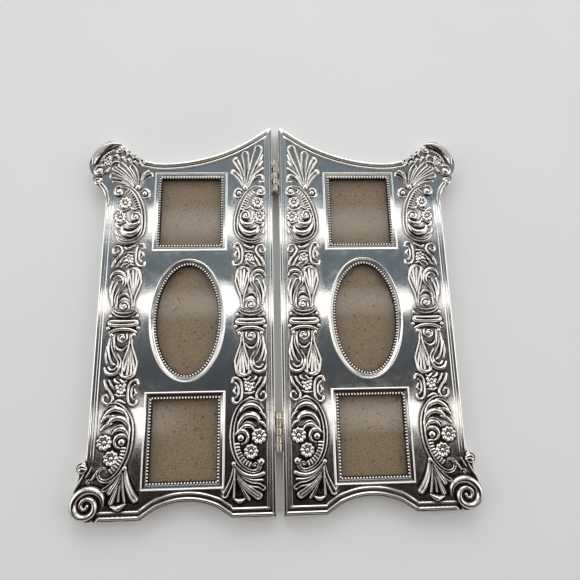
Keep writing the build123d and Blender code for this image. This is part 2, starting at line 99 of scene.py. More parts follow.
# Where the outer rim fades in and out, how two rims meet at a corner, how far a rim reaches, where the foot's
# rim ends, how many points of the corner's top have one, and the steps between points of the outer outline
OUTER_RIM_V = ((30, 37, 197, 204), (0, 1, 1, 0))
RIM_BLEND = ((-1, 1), (0, 1))
RIM_REACH = 6.0
FOOT_RIM_END = 103.0
TOP_RIM_POINTS = 20
SIDE_STEPS = 12

# The ornament is rolled off toward the outer edge within this distance, from at most this height.
EDGE_ROLL = 0.9
EDGE_RISE = 2.0

# The skirt: the levels that round its lower edge, the least step along it, and the limit of its mitres
SKIRT_SIDE = 0.25
SKIRT_CHAMFER = 0.05
SKIRT_GAP = 0.02
MITRE_LIMIT = 0.4

# Ornament sections: the bead of an outline and the mound inside it, the rise, roundness and ribs of a full
# band, the rise of a dome, and a hollow's narrow ends, steepness and depth
BEAD_HALF = 0.65
BEAD_SHARE = 0.16
BEAD_HEIGHT = 0.9
BEAD_RISE = 0.36
OUTLINE_MOUND = 0.14
BAND_RISE = 0.46
BAND_ROUND = 0.6
ONE_RIB_SHARE = 0.4
RIBS_SHARE = 0.55
DOME_RISE = 0.8
HOLLOW_END = 0.4
HOLLOW_WALL = 2.2
HOLLOW_DEPTH = 0.8

# Flowers, in shares of the radius: the petals' start and end, their widths times their number, the ring that
# joins them and its width, and the boss. Curls: the widths of the ridge, and the ball.
PETAL_SPAN = (0.46, 0.76)
PETAL_WIDTHS = (2.4, 4.7)
PETAL_TURN = 0.3
PETAL_RING = 0.7
RING_WIDTH = 0.36
RING_POINTS = 17
BOSS = 0.27
CURL_WIDTHS = (0.3, 0.42, 0.34)
CURL_BALL = 0.3

# Tarnish in recesses, and painted shade on the ground that ornament crowds: how widely recesses and crowded
# ground are looked for, how dark they get, and where on the leaf, the painted shade heavier toward the foot
RECESS_BLUR = 26
RECESS_GAIN = 2.8
RECESS_STAIN = 0.7
CROWD_BLUR = 70
CROWD_GAIN = 2.2
CROWD_HEIGHT = 0.2
GROUND_HEIGHT = 0.5
GROUND_SHADE = ((8, 50, 180, 230), (0.9, 0.68, 0.4, 0.12))
# More painted shade toward the foot, and darker toward the top outer corner
FOOT_SHADE = ((8, 60), (0.24, 0))
CORNER_DARKENING = ((205, 225), (0, 0.18))
CORNER_U = ((81, 90), (0, 1))

# Bezel section, from its outer foot to the opening: distance outside the opening, level. Its bed has painted
# shade.
BEZEL = ((4.95, 8.1), (4.92, 8.4), (4.84, 8.64), (4.7, 8.84), (4.52, 8.97), (4.36, 9.01), (4.2, 8.96),
         (4.08, 8.84), (4, 8.72), (3.93, 8.68), (3.3, 8.595), (2.7, 8.515), (2.08, 8.43), (1.98, 8.4),
         (1.94, 8.15), (0.3, 8.15), (0.08, 8.05), (0, 7.9), (0, 6.8))
BED_EDGE = 1.96
BED_SHADE = 0.9

# Pearls: distance outside the opening, pitch, half sizes along, across and up, level, and the mesh, which has
# painted shade low down that fades upward
PEARL_INSET = 1.05
PEARL_PITCH = 1.86
PEARL_SIZE = (0.62, 0.82, 0.76)
PEARL_LEVEL = 8.3
PEARL_STEPS = 10
PEARL_CLIMB = (-15, 12, 38, 62, 84)
PEARL_SHADE = 0.8
PEARL_SHADE_FADE = 1.2
OVAL_STEPS = 720

# Lamps, in metres: strips above the frame with their place and size, and panels with their brightness too
STRIP_LEVEL = 1.1
STRIP_BRIGHTNESS = 2.4
STRIPS = (((0, 0.483), (1.6, 0.12)), ((0, 0.21), (1.6, 0.105)), ((-0.43, -0.147), (0.38, 0.11)),
          ((0.34, -0.147), (0.66, 0.11)))
PANELS = (((-1.7, 0.1, 1.1), (2.4, 2), 2.1), ((1.7, 0.1, 1.1), (2.4, 2), 2.1),
          ((0, 1.9, 1.2), (3, 1.6), 3.6))
FLOOR_REACH = 3

# The camera: its turns in degrees, a point of the frame, and where it sees that point
CAMERA_TURNS = (("Z", 1.22), ("X", -12.5), ("Y", 2.43))
SEEN_POINT = (0, -1, 8.8)
SEEN_AT = (-8.4, -9.6, -284.2)

# Ornament. Rows: points, widths from start to end, and OUTLINE or the number of ribs, where it isn't one.
# Rungs and beads: points. Curls: centre, radius, start, turn. Flowers: centre, radius, petals. Knobs:
# centre, radius. Hollows: points, width. SHARED and COLLAR are drawn for the inner band and mirrored.

# Every half band: crescents, cartouche, acanthus and drop leaf
SHARED = {
    "rows": [
        # nested crescents in the belly of the scroll
        ([(9.8, 181.6), (11, 178.2), (15.2, 176.6), (19.4, 178), (22.4, 182.6), (23, 187)],
         (1, 3, 3.8, 3.2, 2, 0.8)),
        ([(12.6, 186), (14.6, 183.6), (18, 183), (20.8, 184.8), (22, 188.4)], (0.8, 2.4, 3, 2.2, 0.8)),
        ([(8.8, 179.8), (11, 176.4), (15.2, 175), (19.8, 176.4), (23, 181)], (0.7, 1, 1.1, 1, 0.7)),
        ([(12, 183.6), (14.8, 181.5), (18, 181), (21.2, 182.8)], (0.7, 1, 1, 0.7)),
        ([(5.8, 184), (7.4, 181.6), (9.8, 180.6)], (0.9, 2, 0.9)),
        ([(5.8, 179), (7, 176.6), (9, 175.2)], (0.9, 1.8, 0.9)),
        # cartouche: S-scroll, small leaves and the spine and ribs of the shell
        ([(5.6, 154), (7.2, 158.2), (9.8, 161.6), (11.4, 164.8), (10.4, 167.4), (7.8, 168.2), (5.6, 166.4),
          (5.7, 163.8), (7.6, 163), (8.7, 164.6)], (0.9, 2, 2, 1.8, 1.6, 1.5, 1.4, 1.3, 1.2, 1)),
        ([(8.4, 153.4), (10.2, 157.2), (12.4, 160.2)], (0.8, 1.7, 0.8)),
        ([(11.4, 152.8), (12.6, 155), (15, 156)], (0.8, 1.8, 0.8)),
        ([(15.4, 153.6), (17.4, 155.4), (19.2, 154.6)], (0.8, 1.7, 0.8)),
        ([(12.6, 167.8), (14.8, 166.2), (19.4, 168.2)], (0.9, 2, 0.8)),
        ([(12.8, 162.6), (15, 163.6), (18.8, 163.4)], (0.8, 1.5, 0.8)),
        ([(26, 166.6), (25.4, 168.8), (22.8, 169.2), (20.9, 166.6), (20.4, 162), (20.9, 157.4),
          (22.8, 154.6), (25.6, 154.2), (26.4, 156.4)], (1.6, 1.7, 1.5, 1.4, 1.4, 1.4, 1.5, 1.8, 1.6)),
        ([(24.4, 166.2), (22.9, 164.6), (22.5, 161.6), (23, 158.8), (24.6, 157)], (0.9, 1.3, 1.3, 1.3, 0.9)),
        ([(24.2, 163.8), (25.4, 162), (24.4, 159.8)], (0.9, 1.6, 0.9)),
        # acanthus with a hooked tip
        ([(9, 126.4), (9.4, 133), (11.6, 138.2), (14, 142), (14.4, 146)], (1, 2.2, 2.6, 2.8, 2.6), OUTLINE),
        ([(14.8, 142.6), (14.6, 146.6), (12.4, 149.6), (9.2, 150.4), (6.6, 149.2), (5.2, 146.4)],
         (0.9, 1.8, 2.2, 2.4, 2.2, 0.9)),
        ([(13.2, 142.4), (12.9, 145.6), (11, 147.5), (8.8, 147.5), (7.5, 146)], (0.8, 1.4, 1.6, 1.4, 0.8)),
        ([(7.4, 127.6), (6.6, 133.6), (7.8, 139.4), (9.6, 143.4), (11.4, 144.6)], (0.9, 1.5, 1.7, 1.6, 1)),
        ([(5.8, 133), (5.4, 139), (6.6, 143.6)], (0.8, 1.3, 0.8)),
        # drop leaf
        ([(20.4, 125.6), (20.4, 132), (20.6, 139.4), (20.5, 145.6), (20.1, 149)],
         (1.5, 2.4, 6.2, 10, 9.4), OUTLINE),
        ([(20, 134), (18.8, 141), (17, 148.6)], (0.7, 1.3, 1.5)),
        ([(20.3, 134), (20, 141), (19.2, 150.8)], (0.7, 1.3, 1.5)),
        ([(20.7, 134), (21.3, 141), (21.6, 150.4)], (0.7, 1.3, 1.5)),
        ([(21, 135), (22.4, 142), (23.7, 147.6)], (0.7, 1.2, 1.4)),
        ([(24.4, 146.4), (22.6, 150.6), (19.2, 152.3), (16, 151.4), (14.8, 149.6)], (0.9, 1.6, 2, 1.8, 0.9)),
        # arch over the spiral
        ([(10, 125.6), (10, 130.6), (12.2, 134.6), (15.6, 135.4), (18.4, 132.8)], (0.8, 1.3, 1.5, 1.4, 0.8)),
    ],
    "curls": [(14.6, 127.4, 3.6, -30, 520)],
    "flowers": [(16, 159.6, 2.9, 6)],
    "knobs": [(18.2, 157, 1), (13.2, 157.6, 0.9)],
    "hollows": [
        ([(11.6, 180.6), (15.6, 179.3), (19.8, 180.9)], 1.7),
        ([(10.6, 175.1), (15, 173.6), (19.6, 175)], 1.4), ([(5.9, 161.2), (7.4, 160.5), (8.8, 161.3)], 1.2),
        ([(13.4, 164.4), (16, 164.9), (18.4, 166)], 1),
        ([(10.9, 130.4), (12.6, 133), (15, 133.8), (17.5, 132.3)], 1.4),
        ([(5.9, 145), (6.6, 146.8), (8, 148.3)], 0.9),
        ([(5.2, 151.4), (8, 153), (11, 152.8), (13.6, 150.9)], 1.1),
        ([(7.9, 129.6), (7.7, 135), (9, 140.4), (11, 143.8)], 0.7), ([(5.7, 145.4), (6.7, 147)], 1),
        ([(10.5, 130.8), (11.4, 135.4), (13.2, 139.6)], 0.7),
    ],
}

# Between the halves of a band
COLLAR = {
    "rows": [
        ([(8, 124.2), (10.8, 122.3), (15, 121.6), (19.4, 122.3), (22.2, 124.2)],
         (2, 3.2, 3.6, 3.2, 2), OUTLINE),
        ([(7.6, 116.4), (15, 116.2), (22.6, 116.4)], (5, 5.2, 5), 2),
        ([(7, 110.6), (10.6, 112.2), (15, 112.6), (19.6, 112.2), (23.2, 110.6)], (2, 2.4, 2.6, 2.4, 2)),
    ],
    "knobs": [
        (6.6, 121, 1.1), (23.6, 121, 1.1), (5.6, 113.2, 1.2), (24.6, 113.2, 1.2), (8, 108.8, 1.2),
        (22.2, 108.8, 1.2),
    ],
    "hollows": [
        ([(8, 116.4), (15, 116.2), (22.2, 116.4)], 1.1),
        ([(9.6, 109.8), (12.4, 110.8), (17.6, 110.8), (20.4, 109.8)], 1.2),
    ],
}

# Ends of the bands: a scroll round two rosettes, with a fan of leaves at the top or a spray at the foot
INNER_UPPER = {
    "rows": [
        ([(8.6, 210.4), (13.6, 209), (17.8, 205.2), (21.2, 199.2), (23.4, 193.2), (24.7, 187), (24.9, 181.4),
          (23.6, 176.4), (20.4, 172.8), (15.4, 171), (10.6, 171.6), (7.7, 174.2), (6.7, 177.6)],
         (1.6, 2.8, 3.2, 3.2, 3.2, 3, 2.8, 2.8, 2.8, 2.8, 2.6, 2, 1), OUTLINE),
        ([(17.8, 211), (16, 218.6), (13.6, 226.4), (11.2, 233.4), (9.4, 239.2)],
         (1.2, 2.8, 4.4, 5.8, 6.2), OUTLINE),
        ([(18.4, 212), (17.8, 220), (17.9, 228), (18.7, 235)], (1.2, 2.8, 4.4, 5.6), OUTLINE),
        ([(19, 212), (20.4, 219.6), (22.8, 226), (25.4, 230.6)], (1.2, 2.4, 3.6, 4.2), OUTLINE),
        ([(19.6, 210.8), (21.2, 215), (23.8, 218.8), (26.8, 221.4)], (1.2, 2.4, 3.6, 4.2), OUTLINE),
        ([(17.2, 212.6), (13.6, 218.2), (9.8, 221.8), (6.4, 224.4)], (0.9, 1.6, 1.7, 1.5)),
        ([(16.8, 210.6), (14.2, 215.2), (11, 218.4), (7.8, 219), (5.8, 216.8), (6.4, 214), (8.6, 214.2)],
         (0.9, 1.6, 1.8, 1.7, 1.6, 1.4, 1)),
        ([(11.2, 223.6), (9.2, 226.4), (6.8, 229.6)], (0.9, 2.4, 1.2)),
        ([(9.8, 228.4), (8, 231.2), (6.6, 234.6)], (0.8, 1.9, 0.9)),
        ([(6, 194.8), (9.2, 193), (12.6, 193.8), (15, 195.6), (17, 194.4), (19.8, 194.4)],
         (0.8, 1.3, 1.3, 1.3, 0.8)),
        ([(5.8, 184.6), (8.4, 183.6), (11.4, 185), (13.4, 187.8)], (0.8, 1.2, 1.2, 0.8)),
        ([(21, 207.6), (23, 208.9), (25.4, 207.6), (26, 204.8), (24.2, 202.6), (21.4, 203.2)],
         (0.8, 1.3, 1.5, 1.6, 1.6, 1)),
    ],
    "rungs": [(13, 206.6), (16.4, 203), (18.8, 198.8), (20.6, 193.6)],
    "curls": [(8.2, 206.8, 3.8, 80, 460), (18.2, 189.4, 3.9, -20, 480)],
    "flowers": [(10.2, 199, 4.1, 9), (8.7, 188.6, 4, 9)],
    "knobs": [(25, 231.6, 1.5), (26.4, 221.9, 1.6), (18.4, 209.8, 1.8), (22.8, 205.9, 1.6)],
    "hollows": [
        ([(5.6, 204), (8, 202.9), (10.8, 203.9)], 1.4), ([(15.2, 186.7), (18.2, 185.6), (21.2, 186.9)], 1.5),
        ([(7.4, 169.6), (13.4, 168.2), (19.6, 170)], 1.7), ([(21.4, 204), (23, 203.4), (24.5, 204.2)], 0.9),
        ([(8.6, 217), (11.2, 216.4), (13.6, 213.9)], 1.2), ([(6.2, 223), (9, 220.9), (12, 218)], 0.9),
    ],
}
OUTER_UPPER = {
    "rows": [
        ([(103, 210.8), (98.4, 210.2), (94, 207), (90.6, 201.6), (88.2, 195.6), (87, 189), (86.8, 182),
          (88, 176.6), (91.2, 172.8), (96, 171), (100.8, 171.6), (103.6, 174.2), (104.6, 177.6)],
         (1.6, 2.8, 3.2, 3.2, 3.2, 3, 2.8, 2.8, 2.8, 2.8, 2.6, 2, 1), OUTLINE),
        ([(90.6, 210.6), (89.2, 214.8), (86.6, 217.8), (83.8, 219.4)], (1, 2.4, 3.6, 4), OUTLINE),
        ([(90.2, 216.4), (88.6, 220), (85.4, 222.4)], (0.9, 2.2, 1.2)),
        ([(92.2, 211.4), (92.8, 217), (94.6, 222.4), (96.8, 225.6)], (1, 2.6, 4, 4.4), OUTLINE),
        ([(93.2, 211.6), (96.4, 218), (100.6, 223.6), (104.4, 227)], (1, 2.6, 4, 4.6), OUTLINE),
        ([(94.2, 211.2), (98.6, 216.4), (103.8, 221), (108.8, 224.4)], (1, 1.8, 2.6, 3.4), OUTLINE),
        ([(95, 210.8), (99.8, 214.6), (105, 217.4), (109.8, 219)], (1, 2.4, 3.6, 4.4), OUTLINE),
        ([(96, 210.2), (100.4, 212.8), (105, 214.2), (109, 214.6)], (0.8, 1.3, 1.4, 1)),
        ([(105.2, 194.6), (102, 192.8), (98.6, 193.6), (96.2, 195.4), (94.2, 194.2), (91.4, 194.2)],
         (0.8, 1.3, 1.3, 1.3, 0.8)),
        ([(105.4, 184.6), (102.8, 183.6), (99.8, 185), (97.8, 187.8)], (0.8, 1.2, 1.2, 0.8)),
        ([(89, 207.4), (87, 208.7), (84.6, 207.4), (84, 204.6), (85.8, 202.4), (88.6, 203)],
         (0.8, 1.3, 1.5, 1.6, 1.6, 1)),
    ],
    "rungs": [(98.8, 207.6), (95.2, 204.4), (92.6, 200), (90.8, 194.6)],
    "curls": [(104.6, 207.2, 3.8, 100, -460), (92.6, 188.8, 3.9, 200, -480)],
    "flowers": [(99.8, 198.8, 4.2, 9), (102.6, 188.6, 4, 9)],
    "knobs": [(92, 210.2, 1.8), (87.2, 205.7, 1.6)],
    "hollows": [
        ([(107.2, 204.4), (104.6, 203.3), (101.8, 204.3)], 1.4),
        ([(95.6, 186.1), (92.6, 185), (89.6, 186.3)], 1.5),
        ([(103.8, 169.6), (97.8, 168.2), (91.6, 170)], 1.7),
        ([(88.6, 203.8), (87, 203.2), (85.5, 204)], 0.9),
        ([(100.6, 214.6), (104.6, 215.6), (108.6, 216)], 0.9),
        ([(83, 219.5), (85.8, 218.3), (88.4, 215.6)], 1.6),
    ],
}
INNER_LOWER = {
    "rows": [
        ([(10.4, 31.2), (9, 28.4), (10.6, 25.8), (14.2, 25.2), (19.4, 27.6), (23.4, 32.4), (25.6, 38.2),
          (26.4, 45), (26, 51.4), (24.6, 57.2), (21.8, 62.8), (17.8, 66.4), (13.4, 67), (9.4, 65),
          (7.4, 61.6)], (1.2, 1.8, 2, 2.2, 2.6, 2.8, 3, 3, 3, 3, 3, 2.8, 2.4, 1.8, 1), OUTLINE),
        ([(7.8, 59.4), (10.4, 62.4), (14.6, 64), (19, 62.6), (22.8, 58)], (1, 2.8, 3.6, 3, 1)),
        ([(24.4, 46.6), (21.6, 48.7), (18.3, 48), (16.8, 45), (17.8, 42.2), (20.4, 41)],
         (0.9, 2.6, 3, 2.4, 1.8, 0.9)),
        ([(24.4, 28.8), (20, 24.6), (15, 22.7), (10.6, 22.9), (7.4, 24)], (1, 2, 2.5, 2.6, 2.5)),
        ([(23.8, 26.6), (19, 22.2), (13.6, 20.3), (8.2, 20.2)], (0.8, 1.3, 1.4, 1.5)),
        ([(23.4, 24.8), (19.4, 20.6), (14.6, 18), (10.2, 17.2), (7.4, 15.6)],
         (0.9, 2, 2.7, 3.1, 3.1), OUTLINE),
        ([(22.6, 21.8), (17.6, 16.8), (13.4, 13.6), (10.4, 11.6)], (0.9, 2.9, 4.4, 5.2), 3),
        ([(22.8, 20.8), (19, 14.4), (16, 9.8)], (0.8, 1.6, 1.9)),
        ([(24.8, 29.4), (25.8, 22.4), (28, 16.6), (30.2, 12.4)], (1, 2.4, 3.5, 4), OUTLINE),
        ([(26.6, 21), (28.2, 16.8), (29.6, 13.8)], (0.6, 1, 1)),
        ([(23.2, 24.4), (20.6, 17), (18, 10.8)], (0.8, 1.2, 1.2)),
        ([(24.5, 24.4), (24.9, 17), (25, 10.8)], (0.8, 1.2, 1.2)),
        ([(18.4, 10), (21.5, 8.8), (24.7, 10)], (0.9, 3, 0.9)),
    ],
    "rungs": [(23.2, 41), (22.7, 37), (20.6, 33), (17.4, 30), (13.8, 28.4)],
    "curls": [(12.4, 28.4, 2.3, -80, -330)],
    "flowers": [(9.8, 45.4, 4.8, 9), (14.8, 36.6, 4.5, 9)],
    "knobs": [(8.6, 30.6, 2), (25.2, 29.8, 1.4), (21, 44.7, 2.2)],
    "hollows": [
        ([(22.8, 46.6), (20.6, 47), (18.8, 45.6), (19, 43.4), (21, 42.2), (23, 42.8)], 0.9),
        ([(23.2, 19.5), (22.2, 12.6)], 2),
    ],
}
OUTER_LOWER = {
    "rows": [
        ([(100.4, 27.2), (101.6, 29.2), (104.2, 28.6), (105.4, 26), (104.4, 23.2), (101.2, 22), (97, 23.6),
          (92.8, 28), (89.6, 34), (88, 40), (87.4, 46.4), (87.6, 52.6), (89.2, 58.4), (92.6, 63), (97, 65.8),
          (101.6, 65.4), (104.6, 62.4)],
         (1, 1.6, 2, 2.2, 2.4, 2.6, 3, 3.2, 3.2, 3.2, 3.2, 3.2, 3, 3, 2.8, 2, 1), OUTLINE),
        ([(104.6, 58.8), (101.4, 62), (97.4, 63.4), (93, 62), (89.4, 57.4)], (1, 2.8, 3.6, 3, 1)),
        ([(99, 59.2), (102.6, 58.8), (105.8, 56)], (1.8, 2.2, 0.9)),
        ([(99.4, 54.4), (102.8, 53.8), (105.8, 51)], (1.6, 2, 0.9)),
        ([(89.2, 45.8), (92.2, 47.9), (95.5, 47.2), (97, 44.2), (96, 41.4), (93.4, 40.2)],
         (0.9, 2.6, 3, 2.4, 1.8, 0.9)),
        ([(89.6, 28.4), (88.2, 21), (85.6, 15), (83.2, 11.6)], (1, 2.6, 3.8, 4.4), 2),
        ([(91.4, 28.4), (94.8, 23), (98.4, 19.2), (101.4, 17.2)], (0.9, 1.9, 2.5, 2.6), OUTLINE),
        ([(91.8, 26.2), (95, 20.4), (98.2, 15.6)], (0.9, 2.2, 2.9), 2),
        ([(92, 23.4), (94.8, 16), (97, 10)], (0.8, 2, 2.8), 2),
        ([(91, 26), (90.4, 17), (89.2, 10.4)], (0.8, 1.3, 1.3)),
        ([(91.6, 24.6), (92.4, 17), (92.8, 10.6)], (0.7, 1.1, 1.3)),
        ([(88.8, 9), (92.7, 7), (96.8, 8)], (1.2, 4, 1.2)),
    ],
    "rungs": [(91.4, 40.4), (92.4, 35.4), (95.2, 30.4), (99.4, 26.6)],
    "flowers": [(103.2, 43.8, 4.7, 9), (98.6, 34.6, 4.6, 9)],
    "knobs": [(90.2, 29, 1.4), (92.8, 43.9, 2.2)],
    "hollows": [([(91, 45.8), (93.2, 46.2), (95, 44.8), (94.8, 42.6), (92.8, 41.4), (90.8, 42)], 0.9)],
}

# Outer corners: the hood with its sprays at the top, and the volute at the foot
CORNERS = {
    "rows": [
        # hood: a smooth crescent round the outside
        ([(106.6, 243), (111, 242.6), (115.6, 240.6), (119.4, 237.4), (122.2, 233.4), (123.4, 228.6)],
         (2, 4.8, 6.6, 6.6, 5.6, 2.6)),
        # two sprays of leaf lobes that run up to the hood
        ([(85.6, 227.2), (87.4, 228.6), (89.2, 227.6)], (0.8, 2.2, 0.8)),
        ([(89, 226.6), (91, 228.6), (93.2, 227.4)], (0.8, 2.4, 0.8)),
        ([(92.8, 226.8), (95, 229.6), (97.4, 228.8)], (0.8, 2.6, 1)),
        ([(96.8, 228), (99.2, 231.4), (101.8, 230.4)], (0.8, 2.6, 1)),
        ([(100.8, 229.6), (103.4, 232.8), (106.2, 231.8)], (0.8, 2.6, 1)),
        ([(105.2, 231.2), (107.8, 234.4), (110.6, 233)], (0.8, 2.6, 1)),
        ([(91.8, 230.4), (94.2, 232.9), (96.6, 232)], (0.8, 2.4, 0.8)),
        ([(95.6, 232), (98, 235.6), (100.8, 234.6)], (0.8, 2.6, 1)),
        ([(99.8, 234.4), (101.2, 238.2), (103.6, 238.8)], (0.8, 2.6, 1)),
        ([(101.4, 239), (103.4, 241.2), (105.4, 241.8)], (0.8, 1.8, 0.8)),
        # leaves round the side volute, and the neck below the small curl
        ([(106.4, 229.6), (109.4, 229), (111.6, 226.6)], (0.8, 1.9, 0.8)),
        ([(114.8, 235), (117, 232.6), (117.8, 229.4)], (0.9, 2, 0.9)),
        ([(112.2, 224.8), (114.4, 222), (116.6, 219.8)], (1, 2, 1)),
        ([(115.4, 226.4), (118.6, 227.6), (121.4, 226.4)], (0.8, 1.4, 0.8)),
        ([(111.6, 197), (112.2, 203), (114, 208.4), (117, 212.6)], (1.2, 2.6, 3.2, 2.6), OUTLINE),
        # foot volute, its stem and the leaves beside it
        ([(101.8, 8.6), (102.6, 13.4), (106.2, 16.6), (111.4, 17.2), (115.8, 15.2), (118.7, 11),
          (118.4, 6.2), (115.4, 3), (111.2, 2.4), (107.6, 4.3), (106.4, 7.8), (107.6, 11.2), (110.8, 12.6),
          (113.7, 11.4), (114.6, 8.8), (113.2, 6.8), (111.2, 7.1), (110.6, 8.6)],
         (1.4, 4, 4.8, 5, 4.8, 4.4, 3.8, 3.2, 2.8, 2.4, 1.8)),
        ([(119.6, 13), (118.2, 18), (115.6, 22.6), (113.6, 26.4)], (1.2, 1.6, 1.5, 1)),
        ([(106, 28), (107.6, 25.2), (109.2, 22.8)], (0.8, 1.7, 1)),
        ([(109.6, 29.4), (111, 26.8), (112.4, 24.4)], (0.8, 1.4, 0.8)),
    ],
    "curls": [
        (106.4, 238.4, 3, 90, 420), (119.2, 222.6, 4, 120, -520), (119.5, 214.4, 2.8, 150, -430),
        (110.4, 21.4, 2.1, 200, -330),
    ],
    "beads": [(110.8, 238), (114, 236), (116.8, 232.8), (118.4, 229.4)],
    "flowers": [(113.6, 229.8, 2.9, 6)],
    "knobs": [(112.6, 233, 1.3), (115, 29.2, 2.9), (114.2, 31.9, 1.2)],
    "hollows": [
        ([(110.2, 238.6), (114.2, 236.8), (117.6, 233.8), (120.4, 229.8)], 1),
        ([(116, 219.2), (118.6, 218), (121.2, 219.2)], 1.4),
        ([(112.8, 29.6), (115, 30.4), (117.2, 29.4)], 0.8),
        ([(105.2, 236.2), (106.6, 235.6), (108, 236.2)], 0.9),
        ([(117.4, 211.2), (119, 210.6), (120.6, 211.4)], 1),
    ],
}


def smooth_line(points, steps=7):
    """A smooth row of points through a few given ones."""
    p = np.asarray(points, float)
    if len(p) < 3:
        return p
    ends = np.vstack([2 * p[0] - p[1], p, 2 * p[-1] - p[-2]])
    t = np.linspace(0, 1, steps, endpoint=False)[:, None]
    rows = []
    for a, b, c, d in zip(ends, ends[1:], ends[2:], ends[3:]):
        rows.append(0.5 * (2 * b + (c - a) * t + (2 * a - 5 * b + 4 * c - d) * t**2
                           + (3 * b - a - 3 * c + d) * t**3))
    return np.vstack([*rows, p[-1:]])


def spiral(centre, radius, start, turn, shrink=0.36):
    """Points that wind inward from an angle in degrees, smaller by the same share with each half turn."""
    angles = np.linspace(0, turn, max(4, int(abs(turn) / 24)))
    reach = radius * (1 - shrink) ** (np.abs(angles) / 180)
    turned = np.radians(start + angles)
    return np.stack([centre[0] + reach * np.cos(turned), centre[1] + reach * np.sin(turned)], axis=1)


def travelled(line):
    """The distance along a row of points, at each of them."""
    return np.concatenate([[0], np.cumsum(np.hypot(*np.diff(line, axis=0).T))])


def resampled(line, at):
    """Points along a row, at shares of its length."""
    share = travelled(line)
    share = share / share[-1]
    return np.stack([np.interp(at, share, line[:, 0]), np.interp(at, share, line[:, 1])], axis=1)


def domed(x):
    """The height of a round section across its half width."""
    return np.sqrt(np.clip(1 - x * x, 0, 1))


def section(x, width, ribs):
    """Height across a band of a given width: a mound with ribs side by side, or a raised outline."""
    if ribs == OUTLINE:
        half = np.minimum(BEAD_HALF, BEAD_SHARE * width)
        ridge = np.clip(1 - (((1 - np.abs(x)) * width / 2 - half) / half) ** 2, 0, 1)
        return np.minimum(BEAD_HEIGHT, BEAD_RISE * width) * ridge + OUTLINE_MOUND * (1 - x * x)
    rib = 2 * np.mod((x + 1) * ribs / 2, 1) - 1
    share = ONE_RIB_SHARE if ribs == 1 else RIBS_SHARE
    mound = (1 - share) * (1 - x * x) ** BAND_ROUND
    return np.minimum(RELIEF, BAND_RISE * width) * (mound + share * (1 - rib * rib))


class Relief:
    """Heights at points of a leaf, made by pressed ornament, and the painted shade in its pockets."""

    def __init__(self, u, v):
        self.u = u.ravel()
        self.v = v.ravel()
        self.height = np.zeros(u.size)
        self.darkening = np.zeros(u.size)

    def near(self, points, reach):
        """The numbers of the points in a box round some others."""
        low = points.min(0) - reach
        high = points.max(0) + reach
        inside = (self.u > low[0]) & (self.u < high[0]) & (self.v > low[1]) & (self.v < high[1])
        return np.flatnonzero(inside)

    def raise_to(self, where, height):
        self.height[where] = np.maximum(self.height[where], height)

    def along(self, points, width):
        """The points on a band: their numbers, their share of its half width, and its width there."""
        line = smooth_line(points)
        widths = np.atleast_1d(width)
        where = self.near(line, widths.max() / 2)
        if not len(where):
            return where, where, where
        start = line[:-1]
        run = np.diff(line, axis=0)
        length = np.maximum(np.hypot(*run.T), 1e-6)
        du = self.u[where, None] - start[:, 0]
        dv = self.v[where, None] - start[:, 1]
        share = np.clip((du * run[:, 0] + dv * run[:, 1]) / length**2, 0, 1)
        away = np.hypot(du - share * run[:, 0], dv - share * run[:, 1])
        nearest = away.argmin(1)
        pick = np.arange(len(where))
        passed = np.concatenate([[0], np.cumsum(length)])
        t = (passed[nearest] + share[pick, nearest] * length[nearest]) / passed[-1]
        side = np.sign(run[nearest, 0] * dv[pick, nearest] - run[nearest, 1] * du[pick, nearest])
        local = np.interp(t, np.linspace(0, 1, len(widths)), widths)
        x = side * away[pick, nearest] / (local / 2)
        inside = np.abs(x) < 1
        return where[inside], x[inside], local[inside]

    def stroke(self, points, width, ribs=1):
        where, x, local = self.along(points, width)
        self.raise_to(where, section(x, local, ribs))

    def hollow(self, points, width):
        """A pocket pressed back into what is raised, narrow at both ends, and darkened with painted shade."""
        where, x, _ = self.along(points, (HOLLOW_END * width, width, width, HOLLOW_END * width))
        depth = np.clip(HOLLOW_WALL * (1 - np.abs(x)), 0, 1)
        self.height[where] *= 1 - HOLLOW_DEPTH * depth
        # painted shade filling the pocket, fading at its sides
        self.darkening[where] = np.maximum(self.darkening[where], depth)

    def dome(self, centre, radius):
        where = self.near(np.asarray([centre], float), radius)
        away = np.hypot(self.u[where] - centre[0], self.v[where] - centre[1])
        inside = away < radius
        self.raise_to(where[inside], min(RELIEF, DOME_RISE * radius) * domed(away[inside] / radius))

    def beads(self, points, pitch=1.8, radius=0.95):
        line = smooth_line(points)
        passed = travelled(line)
        for way in np.arange(0, passed[-1], pitch):
            self.dome((np.interp(way, passed, line[:, 0]), np.interp(way, passed, line[:, 1])), radius)

    def rungs(self, points, pitch=1.9, reach=1.0, width=1.4):
        """Short bars across a row, like the rungs of a ladder."""
        line = smooth_line(points)
        passed = travelled(line)
        for start, end, before, after in zip(line, line[1:], passed, passed[1:]):
            along = (end - start) / max(after - before, 1e-6)
            across = reach * np.array([-along[1], along[0]])
            for way in np.arange(math.ceil(before / pitch) * pitch, after, pitch):
                middle = start + (way - before) * along
                self.stroke([middle - across, middle + across], width)

    def flower(self, centre, radius, petals):
        """A rosette: petals joined by a ring, round a boss."""
        for petal in range(petals):
            angle = 2 * np.pi * petal / petals + PETAL_TURN
            way = np.array([np.cos(angle), np.sin(angle)])
            self.stroke([np.asarray(centre) + share * radius * way for share in PETAL_SPAN],
                        [width * radius / petals for width in PETAL_WIDTHS])
        turns = np.linspace(0, 2 * np.pi, RING_POINTS)
        ring = np.asarray(centre) + PETAL_RING * radius * np.column_stack([np.cos(turns), np.sin(turns)])
        self.stroke(ring, RING_WIDTH * radius)
        self.dome(centre, BOSS * radius)

    def curl(self, centre, radius, start, turn):
        """A small snail: a ridge that winds in to a ball."""
        self.stroke(spiral(centre, radius, start, turn), [width * radius for width in CURL_WIDTHS])
        self.dome(centre, CURL_BALL * radius)


